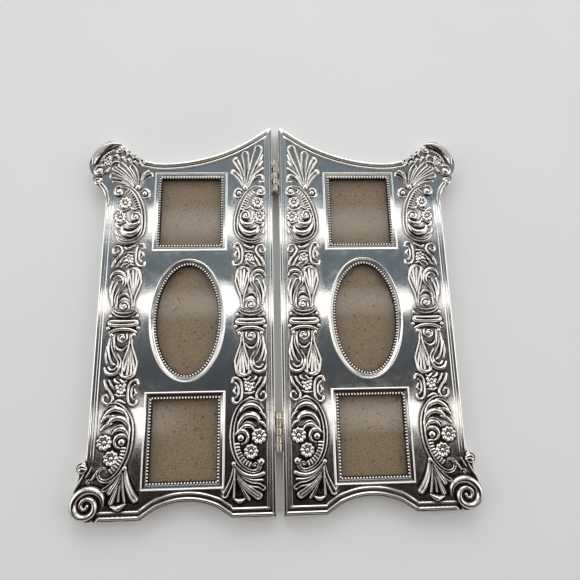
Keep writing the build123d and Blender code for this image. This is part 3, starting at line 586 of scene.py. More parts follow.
def mirrored(points, flip_u, flip_v):
    """Points drawn on the upper inner band, mirrored to another half band."""
    moved = np.array(points, float).reshape(-1, 2)
    if flip_u:
        moved[:, 0] = 2 * MIRROR_U - moved[:, 0]
    if flip_v:
        moved[:, 1] = 2 * MIRROR_V - moved[:, 1]
    return moved


def mirrored_turn(start, turn, flip_u, flip_v):
    """The start and turn of a spiral, in degrees, after mirroring."""
    if flip_u:
        start, turn = 180 - start, -turn
    if flip_v:
        start, turn = -start, -turn
    return start, turn


def draw(relief, motif, flip_u=False, flip_v=False):
    """Presses a motif: its raised forms first, and then its pockets."""
    def place(points):
        return mirrored(points, flip_u, flip_v)

    for points, widths, *ribs in motif["rows"]:
        relief.stroke(place(points), widths, *ribs)
    if "beads" in motif:
        relief.beads(place(motif["beads"]))
    if "rungs" in motif:
        relief.rungs(place(motif["rungs"]))
    for u, v, radius, start, turn in motif.get("curls", ()):
        relief.curl(place((u, v))[0], radius, *mirrored_turn(start, turn, flip_u, flip_v))
    for u, v, radius, petals in motif.get("flowers", ()):
        relief.flower(place((u, v))[0], radius, petals)
    for u, v, radius in motif["knobs"]:
        relief.dome(place((u, v))[0], radius)
    for points, width in motif["hollows"]:
        relief.hollow(place(points), width)


def ornament(relief):
    """All pressed ornament of a leaf."""
    for flip_u in (False, True):
        for flip_v in (False, True):
            draw(relief, SHARED, flip_u, flip_v)
        draw(relief, COLLAR, flip_u)
    for motif in (INNER_UPPER, OUTER_UPPER, INNER_LOWER, OUTER_LOWER, CORNERS):
        draw(relief, motif)


def tangent_arc(start, heading, end):
    """Centre and radius of an arc that leaves one point along a heading and reaches another."""
    start = np.asarray(start, float)
    chord = np.asarray(end, float) - start
    normal = np.array([-heading[1], heading[0]]) / math.hypot(*heading)
    radius = chord @ chord / (2 * chord @ normal)
    return start + radius * normal, radius


def top_edge(u):
    run_end = (PEAK_RUN, LEAF_HEIGHT - PEAK_DROP)
    sweep, sweep_radius = tangent_arc(run_end, (PEAK_RUN, -PEAK_DROP), TOP_LOW)
    spoke = np.asarray(TOP_LOW) - sweep
    rise, rise_radius = tangent_arc(TOP_LOW, (-spoke[1], spoke[0]), TOP_OUTER)
    straight = LEAF_HEIGHT - PEAK_DROP / PEAK_RUN * u
    falling = sweep[1] - np.sqrt(np.maximum(sweep_radius**2 - (u - sweep[0]) ** 2, 0))
    rising = rise[1] - np.sqrt(np.maximum(rise_radius**2 - (u - rise[0]) ** 2, 0))
    return np.where(u < PEAK_RUN, straight, np.where(u < TOP_LOW[0], falling, rising))


def eased(u, v):
    """Points of a leaf, moved so that its sharp peak is rounded off."""
    side = np.clip(1 - u / PEAK_ROUND, 0, 1)
    top = np.clip(1 - (top_edge(u) - v) / PEAK_ROUND, 0, 1)
    near = (side > 0) & (top > 0)
    moved_u = PEAK_ROUND * (1 - side * np.sqrt(1 - top**2 / 2))
    moved_v = top_edge(moved_u) - PEAK_ROUND * (1 - top * np.sqrt(1 - side**2 / 2))
    return np.where(near, moved_u, u), np.where(near, moved_v, v)


def bottom_edge(u):
    (foot_in, _), (left, haunch), (middle, crown), (right, _), (foot_out, _) = ARCH
    sag = crown - haunch
    radius = ((right - left) ** 2 / 4 + sag**2) / (2 * sag)
    arc = crown - radius + np.sqrt(np.maximum(radius**2 - (u - middle) ** 2, 0))
    straight = np.interp(u, (foot_in, left, right, foot_out), (0, haunch, haunch, 0))
    return np.where((u > left) & (u < right), arc, straight)


def spacing(length, step, fine_start, fine_end):
    """Distances from 0 to a length, close together near the ends that have a rim."""
    edge = np.array(RIM_ROWS)
    start = edge if fine_start else np.array([0.0])
    end = length - (edge if fine_end else np.array([0.0]))[::-1]
    count = int(round((end[0] - start[-1]) / step))
    return np.concatenate([start, np.linspace(start[-1], end[0], count + 1)[1:-1], end])


def rim_height(distance, rolls):
    """The height of a rim at distances from the edge."""
    height = np.zeros_like(distance)
    for middle, half, top in rolls:
        height = np.maximum(height, top * domed(np.clip((distance - middle) / half, -1, 1)))
    return height


def blurred(values, passes):
    """A grid of values, softened by averaging neighbours."""
    soft = values.copy()
    for _ in range(passes):
        padded = np.pad(soft, 1, mode="edge")
        soft = (padded[:-2, 1:-1] + padded[2:, 1:-1] + padded[1:-1, :-2] + padded[1:-1, 2:] + soft) / 5
    return soft


def placed(name, data):
    """A new object in the scene."""
    obj = bpy.data.objects.new(name, data)
    bpy.context.scene.collection.objects.link(obj)
    return obj


class Sheet:
    """Collects grids of points, in millimetres, into one mesh."""

    def __init__(self):
        self.points = []
        self.faces = []
        self.tarnish_and_shade = []
        self.count = 0

    def grid(self, points, keep=None, tarnish_and_shade=None, wrap=False):
        rows, columns = points.shape[:2]
        index = np.arange(rows * columns).reshape(rows, columns) + self.count
        if wrap:
            index = np.concatenate([index, index[:, :1]], axis=1)
        quads = np.stack([index[:-1, :-1], index[:-1, 1:], index[1:, 1:], index[1:, :-1]], axis=-1)
        self.faces.append(quads.reshape(-1, 4) if keep is None else quads[keep])
        self.points.append(points.reshape(-1, 3))
        self.tarnish_and_shade.append(np.zeros(rows * columns) if tarnish_and_shade is None else tarnish_and_shade.ravel())
        self.count += rows * columns

    def bands(self, rings):
        """Closed rings, joined each to the next, with sharp edges."""
        for pair in zip(rings[:-1], rings[1:]):
            self.grid(np.array(pair), wrap=True)

    def build(self, name, side):
        points = np.vstack(self.points)
        faces = np.vstack(self.faces)
        tarnish_and_shade = np.concatenate(self.tarnish_and_shade)
        used, faces = np.unique(faces, return_inverse=True)
        faces = faces.reshape(-1, 4)
        points = points[used] * (side, 1, 1) * MM
        if side < 0:
            faces = faces[:, ::-1]
        mesh = bpy.data.meshes.new(name)
        mesh.vertices.add(len(points))
        mesh.vertices.foreach_set("co", points.astype(np.float32).ravel())
        mesh.loops.add(faces.size)
        mesh.loops.foreach_set("vertex_index", faces.astype(np.int32).ravel())
        mesh.polygons.add(len(faces))
        mesh.polygons.foreach_set("loop_start", np.arange(0, faces.size, 4, dtype=np.int32))
        mesh.update()
        mesh.validate()
        mesh.shade_smooth()
        # tarnish in recesses together with painted shade, read by the silver material
        attribute = mesh.attributes.new("tarnish_and_shade", "FLOAT", "POINT")
        attribute.data.foreach_set("value", tarnish_and_shade[used].astype(np.float32))
        return placed(name, mesh)


def lift(u, v, z):
    """Points of the right leaf, in the part's frame."""
    return np.stack([HALF_GAP + u, v - MIDDLE_V, np.broadcast_to(z, np.shape(u))], axis=-1)


def offset_line(line, distance):
    """A row of points moved to its left, with mitred corners."""
    along = np.diff(line, axis=0)
    along /= np.maximum(np.hypot(*along.T), 1e-9)[:, None]
    before = np.vstack([along[:1], along])
    after = np.vstack([along, along[-1:]])
    left = np.stack([-(before + after)[:, 1], (before + after)[:, 0]], axis=1)
    left /= np.maximum(np.hypot(*left.T), 1e-9)[:, None]
    stretch = np.clip(np.abs(left[:, 0] * -before[:, 1] + left[:, 1] * before[:, 0]), MITRE_LIMIT, 1)
    return line + left * (distance / stretch)[:, None]


def skirt(sheet, line):
    """The turned-down edge along an outline that has the leaf on its left."""
    line = line[np.concatenate([[True], np.hypot(*np.diff(line, axis=0).T) > SKIRT_GAP])]
    inner = offset_line(line, SHEET)
    sheet.grid(np.array([lift(*line.T, SKIRT_SIDE), lift(*line.T, FIELD)]))
    lip = [lift(*inner.T, FIELD - SHEET), lift(*inner.T, SKIRT_SIDE),
           lift(*(0.7 * inner + 0.3 * line).T, SKIRT_CHAMFER), lift(*(0.5 * inner + 0.5 * line).T, 0.0),
           lift(*(0.3 * inner + 0.7 * line).T, SKIRT_CHAMFER), lift(*line.T, SKIRT_SIDE)]
    sheet.grid(np.array(lip))


# The outer side with its foot volute and hood, and the scalloped top of the corner
OUTER_SIDE = [(111, 0), (115, 0.8), (118.6, 3.2), (120.7, 7), (120.8, 11), (119.7, 15), (118, 19),
              (116.8, 23), (116.6, 26.2), (118.1, 27.8), (118.5, 29.6), (117.7, 31.6), (116, 32.6),
              (114.2, 32.9), (113.2, 35), (113, 39), (113, 60), (113, 90), (113, 120), (113, 150),
              (113, 180), (113, 196), (113.5, 200.5), (114.5, 204.2), (116.2, 208), (118.4, 211),
              (120.6, 212.6), (122.3, 214.8), (122.9, 217.2), (122.7, 219.3), (124.4, 221.6),
              (125.7, 224.6), (126.1, 227.6), (125.7, 230.9), (124.5, 234.3), (122.5, 237.7),
              (120.2, 240.8), (117, 243.5), (113.5, 245.3)]
CORNER_TOP = [(BAND_START, top_edge(BAND_START)), (85, 229.9), (88.2, 230.5), (90.2, 231.4), (92.4, 232.4),
              (94.4, 234.3), (96.8, 235.2), (98.8, 237.6), (101.2, 238.8), (103.2, 241.2), (106, 243.4),
              (109.6, 245), (113.5, 245.3)]


def to_line(u, v, line, reach):
    """Distance from points to a row of points, up to a reach."""
    spots = Relief(u, v)
    distance = np.full(u.size, reach)
    for start, end in zip(line[:-1], line[1:]):
        where = spots.near(np.array([start, end]), reach)
        run = end - start
        du = spots.u[where] - start[0]
        dv = spots.v[where] - start[1]
        along = np.clip((du * run[0] + dv * run[1]) / max(run @ run, 1e-9), 0, 1)
        away = np.hypot(du - along * run[0], dv - along * run[1])
        distance[where] = np.minimum(distance[where], away)
    return distance.reshape(u.shape)


def window_depth(u, v):
    """How far a point lies outside the nearest window opening; negative inside it."""
    depth = np.full(u.shape, np.inf)
    for name, middle in WINDOWS.items():
        if name == "oval":
            a, b = OVAL_SIZE[0] / 2, OVAL_SIZE[1] / 2
            away = (np.hypot((u - WINDOW_U) / a, (v - middle) / b) - 1) * a
        else:
            w, h = WINDOW_SIZE
            away = np.maximum(np.abs(u - WINDOW_U) - w / 2, np.abs(v - middle) - h / 2)
        depth = np.minimum(depth, away)
    return depth


def pressed(u, v, rim):
    """Height of the pressed sheet at a grid of points, and its tarnish together with painted shade."""
    relief = Relief(u, v)
    ornament(relief)
    raised = relief.height.reshape(u.shape)
    darkening = relief.darkening.reshape(u.shape)
    height = np.maximum(raised, rim)
    recess = np.clip(RECESS_GAIN * (blurred(height, RECESS_BLUR) - height), 0, 1)
    crowd = blurred(np.where(raised > CROWD_HEIGHT, 1.0, 0.0), CROWD_BLUR)
    crowded = np.clip(CROWD_GAIN * crowd, 0, 1)
    # painted shade on the ground among the ornament, heavier toward the foot
    ground = crowded * np.clip(1 - raised / GROUND_HEIGHT, 0, 1) * np.interp(v, *GROUND_SHADE)
    # painted shade toward the foot, and darker toward the top outer corner
    darker = np.interp(v, *FOOT_SHADE) + np.interp(v, *CORNER_DARKENING) * np.interp(u, *CORNER_U)
    return FIELD + height, np.clip(RECESS_STAIN * recess + ground + darkening + darker, 0, 1)


def rows_of(half):
    """Shares of the way across the lower or the upper half of a leaf, close together at its outer edge."""
    length = SEAM_V if half == "lower" else LEAF_HEIGHT - SEAM_V
    return spacing(length, FINE, half == "lower", half == "upper") / length


def inner_grid(u_row, half):
    """Points of the hinge side of a leaf, and the height of its rim there."""
    u, t = np.meshgrid(u_row, rows_of(half))
    low = bottom_edge(u)
    high = top_edge(u)
    v = low + (SEAM_V - low) * t if half == "lower" else SEAM_V + (high - SEAM_V) * t
    slope = np.gradient(high[0], u_row)
    rise = np.gradient(low[0], u_row)
    ends = np.minimum((high - v) / np.hypot(1, slope), (v - low) / np.hypot(1, rise))
    nearest = np.minimum(u, ends)
    share = np.interp(u - ends, *RIM_BLEND)
    rim = share * rim_height(nearest, END_RIM[half]) + (1 - share) * rim_height(nearest, HINGE_RIM)
    return *eased(u, v), rim


def inner_piece(half):
    """Half of the ornament band on the hinge side."""
    u, v, rim = inner_grid(spacing(BAND_END, FINE, True, False), half)
    height, tarnish_and_shade = pressed(u, v, rim)
    sheet = Sheet()
    sheet.grid(lift(u, v, height), tarnish_and_shade=tarnish_and_shade)
    return sheet


def field_piece():
    """The plain field round the windows, with the skirt of the hinge side, the top and the arch."""
    u_row = np.linspace(BAND_END, BAND_START, FIELD_COLUMNS)
    sheet = Sheet()
    for half in ("lower", "upper"):
        u, v, rim = inner_grid(u_row, half)
        height, tarnish_and_shade = pressed(u, v, rim)
        middle_u = 0.5 * (u[:-1, :-1] + u[1:, 1:])
        middle_v = 0.5 * (v[:-1, :-1] + v[1:, 1:])
        sheet.grid(lift(u, v, height), keep=window_depth(middle_u, middle_v) > BEZEL_LAP, tarnish_and_shade=tarnish_and_shade)
    across = np.concatenate([spacing(BAND_END, FINE, True, False), u_row[1:]])
    climb = LEAF_HEIGHT - spacing(LEAF_HEIGHT, SKIRT_STEP, True, False)
    outline = np.concatenate([np.stack(eased(across, top_edge(across)), 1)[::-1],
                              np.stack(eased(0 * climb, climb), 1)[1:],
                              np.stack([across, bottom_edge(across)], 1)[1:]])
    skirt(sheet, outline)
    return sheet


def patch(s, t, bottom, top, left, right):
    """A grid of points that blends four rows of points round it."""
    s = s[None, :, None]
    t = t[:, None, None]
    blend = (1 - s) * left[:, None] + s * right[:, None] + (1 - t) * bottom[None] + t * top[None]
    flat = ((1 - s) * (1 - t) * bottom[0] + s * (1 - t) * bottom[-1] + (1 - s) * t * top[0]
            + s * t * top[-1])
    return np.moveaxis(blend - flat, -1, 0)


def outer_piece(half):
    """Half of the ornament band on the outer side, with its scrolled corner."""
    width = LEAF_WIDTH - BAND_START
    s = spacing(width, FINE, False, True) / width
    t = rows_of(half)
    side_line = smooth_line(OUTER_SIDE, SIDE_STEPS)
    top_line = smooth_line(CORNER_TOP, SIDE_STEPS)
    seam = np.stack([BAND_START + width * s, np.full(len(s), SEAM_V)], 1)
    if half == "lower":
        right_line = np.vstack([side_line[side_line[:, 1] < SEAM_V], seam[-1:]])
        bottom = np.stack([BAND_START + (right_line[0, 0] - BAND_START) * s, np.zeros(len(s))], 1)
        top = seam
        edge_line = right_line
        end_line = np.array([(BAND_START, 0.0), (FOOT_RIM_END, 0.0)])
    else:
        right_line = np.vstack([seam[-1:], side_line[side_line[:, 1] > SEAM_V]])
        bottom = seam
        top = resampled(top_line, s)
        edge_line = np.vstack([right_line[:-1], top_line[::-1]])
        end_line = top_line[:TOP_RIM_POINTS]
    right = resampled(right_line, t)
    left = np.stack([np.full(len(t), BAND_START), bottom[0, 1] + (top[0, 1] - bottom[0, 1]) * t], 1)
    u, v = patch(s, t, bottom, top, left, right)

    rim = np.maximum(np.interp(v, *OUTER_RIM_V) * rim_height(LEAF_WIDTH - u, OUTER_RIM),
                     rim_height(to_line(u, v, end_line, RIM_REACH), END_RIM[half]))
    height, tarnish_and_shade = pressed(u, v, rim)
    edge = to_line(u, v, edge_line, RIM_REACH)
    height = np.minimum(height, FIELD + EDGE_RISE * domed(np.clip(1 - edge / EDGE_ROLL, 0, 1)))
    sheet = Sheet()
    sheet.grid(lift(u, v, height), tarnish_and_shade=tarnish_and_shade)
    border = np.stack([u[:, -1], v[:, -1]], 1)
    if half == "lower":
        skirt(sheet, np.concatenate([np.stack([u[0], v[0]], 1), border[1:]]))
    else:
        skirt(sheet, np.concatenate([border, np.stack([u[-1], v[-1]], 1)[::-1][1:]]))
    return sheet


def window_line(name, grow, steps=96):
    """Points round a window, counter-clockwise, a distance outside it, one row for each side."""
    middle = WINDOWS[name]
    if name == "oval":
        angle = np.linspace(0, 2 * np.pi, steps + 1)
        a, b = OVAL_SIZE[0] / 2, OVAL_SIZE[1] / 2
        normal = np.stack([b * np.cos(angle), a * np.sin(angle)], 1)
        normal /= np.hypot(*normal.T)[:, None]
        return [np.stack([WINDOW_U + a * np.cos(angle), middle + b * np.sin(angle)], 1) + grow * normal]
    w, h = WINDOW_SIZE[0] / 2 + grow, WINDOW_SIZE[1] / 2 + grow
    corner = np.array([(w, -h), (w, h), (-w, h), (-w, -h), (w, -h)]) + (WINDOW_U, middle)
    return [np.stack([start, end]) for start, end in zip(corner[:-1], corner[1:])]


def bezel_piece():
    """The bezels of a leaf's three windows."""
    sheet = Sheet()
    # painted shade on the bed under the pearls, down to the opening
    darkening = np.array([BED_SHADE if grow < BED_EDGE else 0.0 for grow, _ in BEZEL])
    for name in WINDOWS:
        for rows in zip(*(window_line(name, grow) for grow, _ in BEZEL)):
            points = np.array([lift(*row.T, level) for row, (_, level) in zip(rows, BEZEL)])
            sheet.grid(points, tarnish_and_shade=np.repeat(darkening[:, None], points.shape[1], axis=1))
    return sheet


def pearl_piece():
    """The rows of pearls inside the bezels."""
    half_along, half_across, half_up = PEARL_SIZE
    sheet = Sheet()
    around = np.linspace(0, 2 * np.pi, PEARL_STEPS, endpoint=False)
    climb = np.radians(PEARL_CLIMB)
    dome_u = np.outer(np.cos(climb), np.cos(around))
    dome_v = np.outer(np.cos(climb), np.sin(around))
    dome_z = np.repeat(np.sin(climb)[:, None], len(around), axis=1)
    # painted shade on the lower part of each pearl, fading toward its top
    darkening = np.clip(PEARL_SHADE - dome_z * PEARL_SHADE_FADE, 0, 1)
    for name in WINDOWS:
        sides = window_line(name, PEARL_INSET, OVAL_STEPS)
        line = np.vstack([side[:-1] for side in sides] + [sides[-1][-1:]])
        count = round(travelled(line)[-1] / PEARL_PITCH)
        spots = resampled(line, np.arange(count + 1) / count)
        for (u, v), (du, dv) in zip(spots[:-1], np.diff(spots, axis=0)):
            along = half_along * dome_u / math.hypot(du, dv)
            across = half_across * dome_v / math.hypot(du, dv)
            sheet.grid(lift(u + along * du - across * dv, v + along * dv + across * du,
                            PEARL_LEVEL + half_up * dome_z), tarnish_and_shade=darkening, wrap=True)
    return sheet


def node_material(name):
    material = bpy.data.materials.new(name)
    material.use_nodes = True
    tree = material.node_tree
    return material, tree, tree.nodes["Principled BSDF"]


def add(tree, kind, inputs=None, **settings):
    node = tree.nodes.new(kind)
    for key, value in settings.items():
        setattr(node, key, value)
    for key, value in (inputs or {}).items():
        if isinstance(value, bpy.types.NodeSocket):
            tree.links.new(value, node.inputs[key])
        else:
            node.inputs[key].default_value = value
    return node


def noise(tree, scale, detail=3.0, rough=0.5, stretch=(1, 1, 1)):
    """Noise over the object's own coordinates, in cells to the metre."""
    where = add(tree, "ShaderNodeTexCoord")
    mapped = add(tree, "ShaderNodeMapping", {"Vector": where.outputs["Object"], "Scale": stretch})
    return add(tree, "ShaderNodeTexNoise", {"Vector": mapped.outputs[0], "Scale": scale, "Detail": detail,
                                            "Roughness": rough}).outputs[0]


def ramp(tree, value, *stops):
    node = add(tree, "ShaderNodeValToRGB", {"Fac": value})
    elements = node.color_ramp.elements
    while len(elements) < len(stops):
        elements.new(0.5)
    for element, (position, colour) in zip(elements, stops):
        element.position = position
        element.color = (*colour, 1)
    return node.outputs[0]


def mixed(tree, share, one, other, blend="MIX"):
    inputs = {"Fac": share, "Color1": one, "Color2": other}
    return add(tree, "ShaderNodeMixRGB", inputs, blend_type=blend).outputs[0]


def spread(tree, value, low, high, out_low, out_high):
    inputs = {"Value": value, "From Min": low, "From Max": high, "To Min": out_low, "To Max": out_high}
    return add(tree, "ShaderNodeMapRange", inputs).outputs[0]


def maths(tree, operation, *values, **settings):
    return add(tree, "ShaderNodeMath", dict(enumerate(values)), operation=operation, **settings).outputs[0]


def bumped(tree, height, strength, distance, **more):
    inputs = {"Height": height, "Strength": strength, "Distance": distance, **more}
    return add(tree, "ShaderNodeBump", inputs).outputs[0]


def surface(tree, shader, metallic, colour, rough, normal):
    """Gives a shader what it shows."""
    shader.inputs["Metallic"].default_value = metallic
    for key, value in (("Base Color", colour), ("Roughness", rough), ("Normal", normal)):
        tree.links.new(value, shader.inputs[key])


def silver():
    """Polished plate, handled a little, darkened where the mesh says so: brown tarnish in recesses, and
    painted shade.
    """
    material, tree, shader = node_material("silver_plate")
    # the mesh's tarnish and painted shade, broken up by noise
    darkening = add(tree, "ShaderNodeAttribute", attribute_name="tarnish_and_shade").outputs["Fac"]
    cloud = spread(tree, noise(tree, 60, 4.0), 0.3, 0.7, 1.0, 1.4)
    tarnish_and_shade_share = maths(tree, "MULTIPLY", darkening, cloud, use_clamp=True)
    plate = ramp(tree, noise(tree, 25, 3.0), (0.3, (0.84, 0.815, 0.785)), (0.7, (0.89, 0.845, 0.785)))
    colour = mixed(tree, tarnish_and_shade_share, plate, (0.036, 0.023, 0.02, 1))
    handled = spread(tree, noise(tree, 180, 5.0, 0.6), 0.3, 0.75, 0.05, 0.13)
    rough = maths(tree, "MULTIPLY_ADD", tarnish_and_shade_share, 0.2, handled)
    wavy = bumped(tree, noise(tree, 22, 2.0), 0.35, 0.0012)
    surface(tree, shader, 1.0, colour, rough, bumped(tree, noise(tree, 700, 2.0), 0.02, 0.0004, Normal=wavy))
    return material


def glass():
    """A clear pane, seen through and shining on its outer faces alone."""
    material, tree, shader = node_material("clear_glass")
    tree.nodes.remove(shader)
    clear = add(tree, "ShaderNodeBsdfTransparent", {"Color": (0.96, 0.975, 0.965, 1)})
    smear = spread(tree, noise(tree, 90, 4.0), 0.35, 0.7, 0.0, 0.05)
    shine = add(tree, "ShaderNodeBsdfGlossy", {"Color": (1, 1, 1, 1), "Roughness": smear})
    edge = add(tree, "ShaderNodeFresnel", {"IOR": 1.5}).outputs[0]
    inside = add(tree, "ShaderNodeNewGeometry").outputs["Backfacing"]
    share = mixed(tree, inside, edge, (0, 0, 0, 1))
    both = add(tree, "ShaderNodeMixShader", {0: share, 1: clear.outputs[0], 2: shine.outputs[0]})
    tree.links.new(both.outputs[0], tree.nodes["Material Output"].inputs["Surface"])
    return material


def hardboard():
    material, tree, shader = node_material("hardboard")
    flecks = ramp(tree, noise(tree, 1400, 3.0, 0.7), (0.3, (0.17, 0.11, 0.066)), (0.42, (0.3, 0.208, 0.128)),
                  (0.66, (0.43, 0.31, 0.208)))
    specks = ramp(tree, noise(tree, 520, 1.0), (0.66, (1, 1, 1)), (0.74, (0.4, 0.35, 0.3)))
    flecks = mixed(tree, 1.0, flecks, specks, "MULTIPLY")
    fibres = ramp(tree, noise(tree, 420, 5.0, 0.6, (1, 3, 1)), (0.3, (0.78, 0.76, 0.74)), (0.7, (1, 1, 1)))
    colour = mixed(tree, 1.0, flecks, fibres, "MULTIPLY")
    rough = spread(tree, noise(tree, 300), 0.3, 0.7, 0.55, 0.8)
    surface(tree, shader, 0.0, colour, rough, bumped(tree, noise(tree, 1100, 3.0), 0.25, 0.0003))
    return material


def wood():
    material, tree, shader = node_material("liner_wood")
    grain = noise(tree, 60, 6.0, 0.65, (14, 1, 14))
    colour = ramp(tree, grain, (0.3, (0.3, 0.19, 0.1)), (0.5, (0.46, 0.31, 0.18)), (0.7, (0.56, 0.4, 0.25)))
    pores = ramp(tree, noise(tree, 500, 2.0, 0.5, (6, 0.5, 6)), (0.36, (0.45, 0.36, 0.3)), (0.46, (1, 1, 1)))
    colour = mixed(tree, 0.8, colour, pores, "MULTIPLY")
    rough = spread(tree, grain, 0.3, 0.7, 0.62, 0.45)
    surface(tree, shader, 0.0, colour, rough, bumped(tree, grain, 0.2, 0.0004))
    return material


def card():
    material, tree, shader = node_material("mat_card")
    colour = ramp(tree, noise(tree, 800, 4.0), (0.35, (0.62, 0.58, 0.50)), (0.7, (0.76, 0.72, 0.64)))
    rough = spread(tree, noise(tree, 300), 0.3, 0.7, 0.75, 0.92)
    surface(tree, shader, 0.0, colour, rough, bumped(tree, noise(tree, 1500), 0.2, 0.0002))
    return material


def worn_metal(name, bright, darker, rough):
    material, tree, shader = node_material(name)
    wear = noise(tree, 260, 5.0, 0.65)
    colour = ramp(tree, wear, (0.36, darker), (0.62, bright))
    rough = spread(tree, wear, 0.3, 0.7, rough + 0.14, rough)
    surface(tree, shader, 1.0, colour, rough, bumped(tree, noise(tree, 900, 3.0), 0.12, 0.0003))
    return material


def hinge_piece(first_knuckle):
    """One half of a hinge, centred on the middle of its barrel: a plate and the knuckles rolled from it."""
    sheet = Sheet()
    pitch = HINGE_LENGTH / KNUCKLES
    half = HINGE_LENGTH / 2
    around = np.linspace(0, 2 * np.pi, KNUCKLE_STEPS, endpoint=False)
    for knuckle in range(first_knuckle, KNUCKLES, 2):
        start = -half + knuckle * pitch + KNUCKLE_PLAY
        end = start + pitch - 2 * KNUCKLE_PLAY
        outline = [(r, start + d) for r, d in KNUCKLE_END]
        outline += [(r, end - d) for r, d in reversed(KNUCKLE_END)]
        sheet.bands([np.stack([r * np.cos(around), np.full(len(around), y),
                               HINGE_LEVEL - r * np.sin(around)], -1) for r, y in outline])
        slab(sheet, HINGE_WEB[0], (start, end), HINGE_WEB[1])
    slab(sheet, HINGE_PLATE[0], (-half, half), HINGE_PLATE[1])
    return sheet


def slab(sheet, x, y, z):
    """A small plate with its edges eased."""
    (x0, x1), (y0, y1), (z0, z1) = x, y, z
    ease = PLATE_EASE
    loop = np.array([(x0, y0 + ease), (x0 + ease, y0), (x1 - ease, y0), (x1, y0 + ease), (x1, y1 - ease),
                     (x1 - ease, y1), (x0 + ease, y1), (x0, y1 - ease)])
    middle = loop.mean(0)
    rows = [(0, z0), (PLATE_LIP, z0), (1, z0 + ease), (1, z1 - ease), (PLATE_LIP, z1), (0, z1)]
    sheet.bands([np.column_stack([middle + share * (loop - middle), np.full(len(loop), level)])
                 for share, level in rows])


def dress(obj, body, material, slot, *nodes):
    """Gives a piece its material, the body that carries it, and the nodes that it stands for."""
    obj.data.materials.append(material)
    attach(obj, body)
    if nodes:
        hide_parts(*nodes)


def studio():
    """A pale floor, a room that is dark on the camera's side, and soft lamps."""
    scene = bpy.context.scene
    scene.view_settings.view_transform = "Standard"
    mesh = bpy.data.meshes.new("floor")
    corners = [(-1, -1, 0), (1, -1, 0), (1, 1, 0), (-1, 1, 0)]
    mesh.from_pydata([FLOOR_REACH * Vector(corner) for corner in corners], [], [(0, 1, 2, 3)])
    floor = placed("floor", mesh)
    material, tree, shader = node_material("floor")
    tree.links.new(ramp(tree, noise(tree, 6, 3.0), (0.3, (0.78, 0.78, 0.77)), (0.7, (0.81, 0.81, 0.80))),
                   shader.inputs["Base Color"])
    shader.inputs["Roughness"].default_value = 0.85
    mesh.materials.append(material)

    world = bpy.data.worlds.new("studio")
    world.use_nodes = True
    scene.world = world
    tree = world.node_tree
    way = add(tree, "ShaderNodeTexCoord").outputs["Generated"]
    split = add(tree, "ShaderNodeSeparateXYZ", {0: way}).outputs
    front = ramp(tree, split["Z"], (0.0, (0.84, 0.81, 0.77)), (0.26, (0.68, 0.64, 0.59)),
                 (0.44, (0.1, 0.073, 0.062)), (0.85, (0.024, 0.015, 0.015)))
    back = ramp(tree, split["Z"], (0.0, (0.92, 0.92, 0.92)), (0.28, (0.86, 0.86, 0.87)),
                (0.55, (0.62, 0.65, 0.67)), (0.84, (0.16, 0.205, 0.24)))
    sky = mixed(tree, spread(tree, split["Y"], -0.15, 0.4, 0, 1), front, back)
    tree.links.new(sky, tree.nodes["Background"].inputs["Color"])

    for (x, y), size in STRIPS:
        softbox((x, y, STRIP_LEVEL), (0, y, STRIP_LEVEL), size, STRIP_BRIGHTNESS)
    for place, size, brightness in PANELS:
        softbox(place, place, size, brightness)


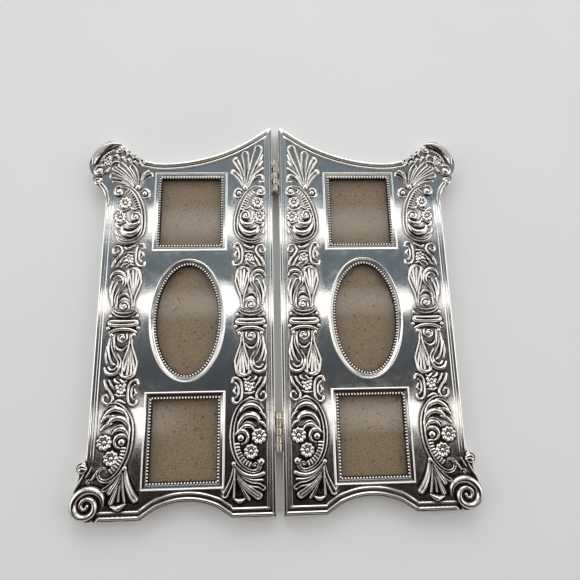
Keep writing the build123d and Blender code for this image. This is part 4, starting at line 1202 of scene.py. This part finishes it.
def softbox(place, back, size, brightness):
    """A lamp that fades toward its edges, with its back to a direction from the middle of the frame."""
    lamp = bpy.data.lights.new("softbox", "AREA")
    lamp.shape = "RECTANGLE"
    lamp.size, lamp.size_y = size
    lamp.energy = brightness * math.pi * size[0] * size[1]
    lamp.use_nodes = True
    tree = lamp.node_tree
    across = add(tree, "ShaderNodeNewGeometry").outputs["Parametric"]
    split = add(tree, "ShaderNodeSeparateXYZ", {0: across})
    arcs = [maths(tree, "MULTIPLY", split.outputs[axis], math.pi) for axis in ("X", "Y")]
    fade = [maths(tree, "SINE", arc) for arc in arcs]
    tree.links.new(maths(tree, "MULTIPLY", *fade), tree.nodes["Emission"].inputs["Strength"])
    obj = placed("softbox", lamp)
    obj.location = place
    obj.rotation_euler = Vector(back).to_track_quat("Z", "Y").to_euler()
    obj.visible_camera = False


def camera():
    """The photo's view: from above the frame, a little toward its feet."""
    turn = Matrix.Identity(3)
    for axis, angle in CAMERA_TURNS:
        turn = turn @ Matrix.Rotation(math.radians(angle), 3, axis)
    place = (Vector(SEEN_POINT) - turn.transposed() @ Vector(SEEN_AT)) * MM
    data = bpy.data.cameras.new("camera")
    data.lens = 27.0
    data.sensor_width = 36.0
    data.clip_start = 0.01
    obj = placed("camera", data)
    obj.matrix_world = Matrix.Translation(place) @ turn.transposed().to_4x4()
    bpy.context.scene.camera = obj


silver_plate = silver()
materials = {
    "glass": glass(),
    "window_mat": card(),
    "liner_frame": wood(),
    "back_board": hardboard(),
    "turn_button": worn_metal("fitting_brass", (0.80, 0.60, 0.30), (0.52, 0.36, 0.16), 0.24),
    "hinge": worn_metal("hinge_metal", (0.72, 0.66, 0.57), (0.30, 0.26, 0.21), 0.24),
}
materials["button_rivet"] = materials["turn_button"]

for name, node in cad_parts.items():
    for key, material in materials.items():
        if key in name:
            node.data.materials.clear()
            node.data.materials.append(material)

pieces = {"field": field_piece(), "bezels": bezel_piece(), "pearls": pearl_piece()}
for half in ("lower", "upper"):
    pieces[f"inner_{half}"] = inner_piece(half)
    pieces[f"outer_{half}"] = outer_piece(half)
for leaf, side in (("left", -1), ("right", 1)):
    for part, sheet in pieces.items():
        obj = sheet.build(f"{leaf}_{part}", side)
        nodes = [f"{leaf}_front_shell"] if part == "field" else []
        dress(obj, f"{leaf}_leaf", silver_plate, "silver_plate", *nodes)
    for name, middle in HINGE_V.items():
        sheet = hinge_piece(0 if leaf == "left" else 1)
        sheet.points = [points + (0, middle - MIDDLE_V, 0) for points in sheet.points]
        obj = sheet.build(f"{name}_hinge_{leaf}", side)
        dress(obj, f"{leaf}_leaf", materials["hinge"], "hinge_metal", f"{name}_hinge_leaf_{leaf}")

studio()
camera()
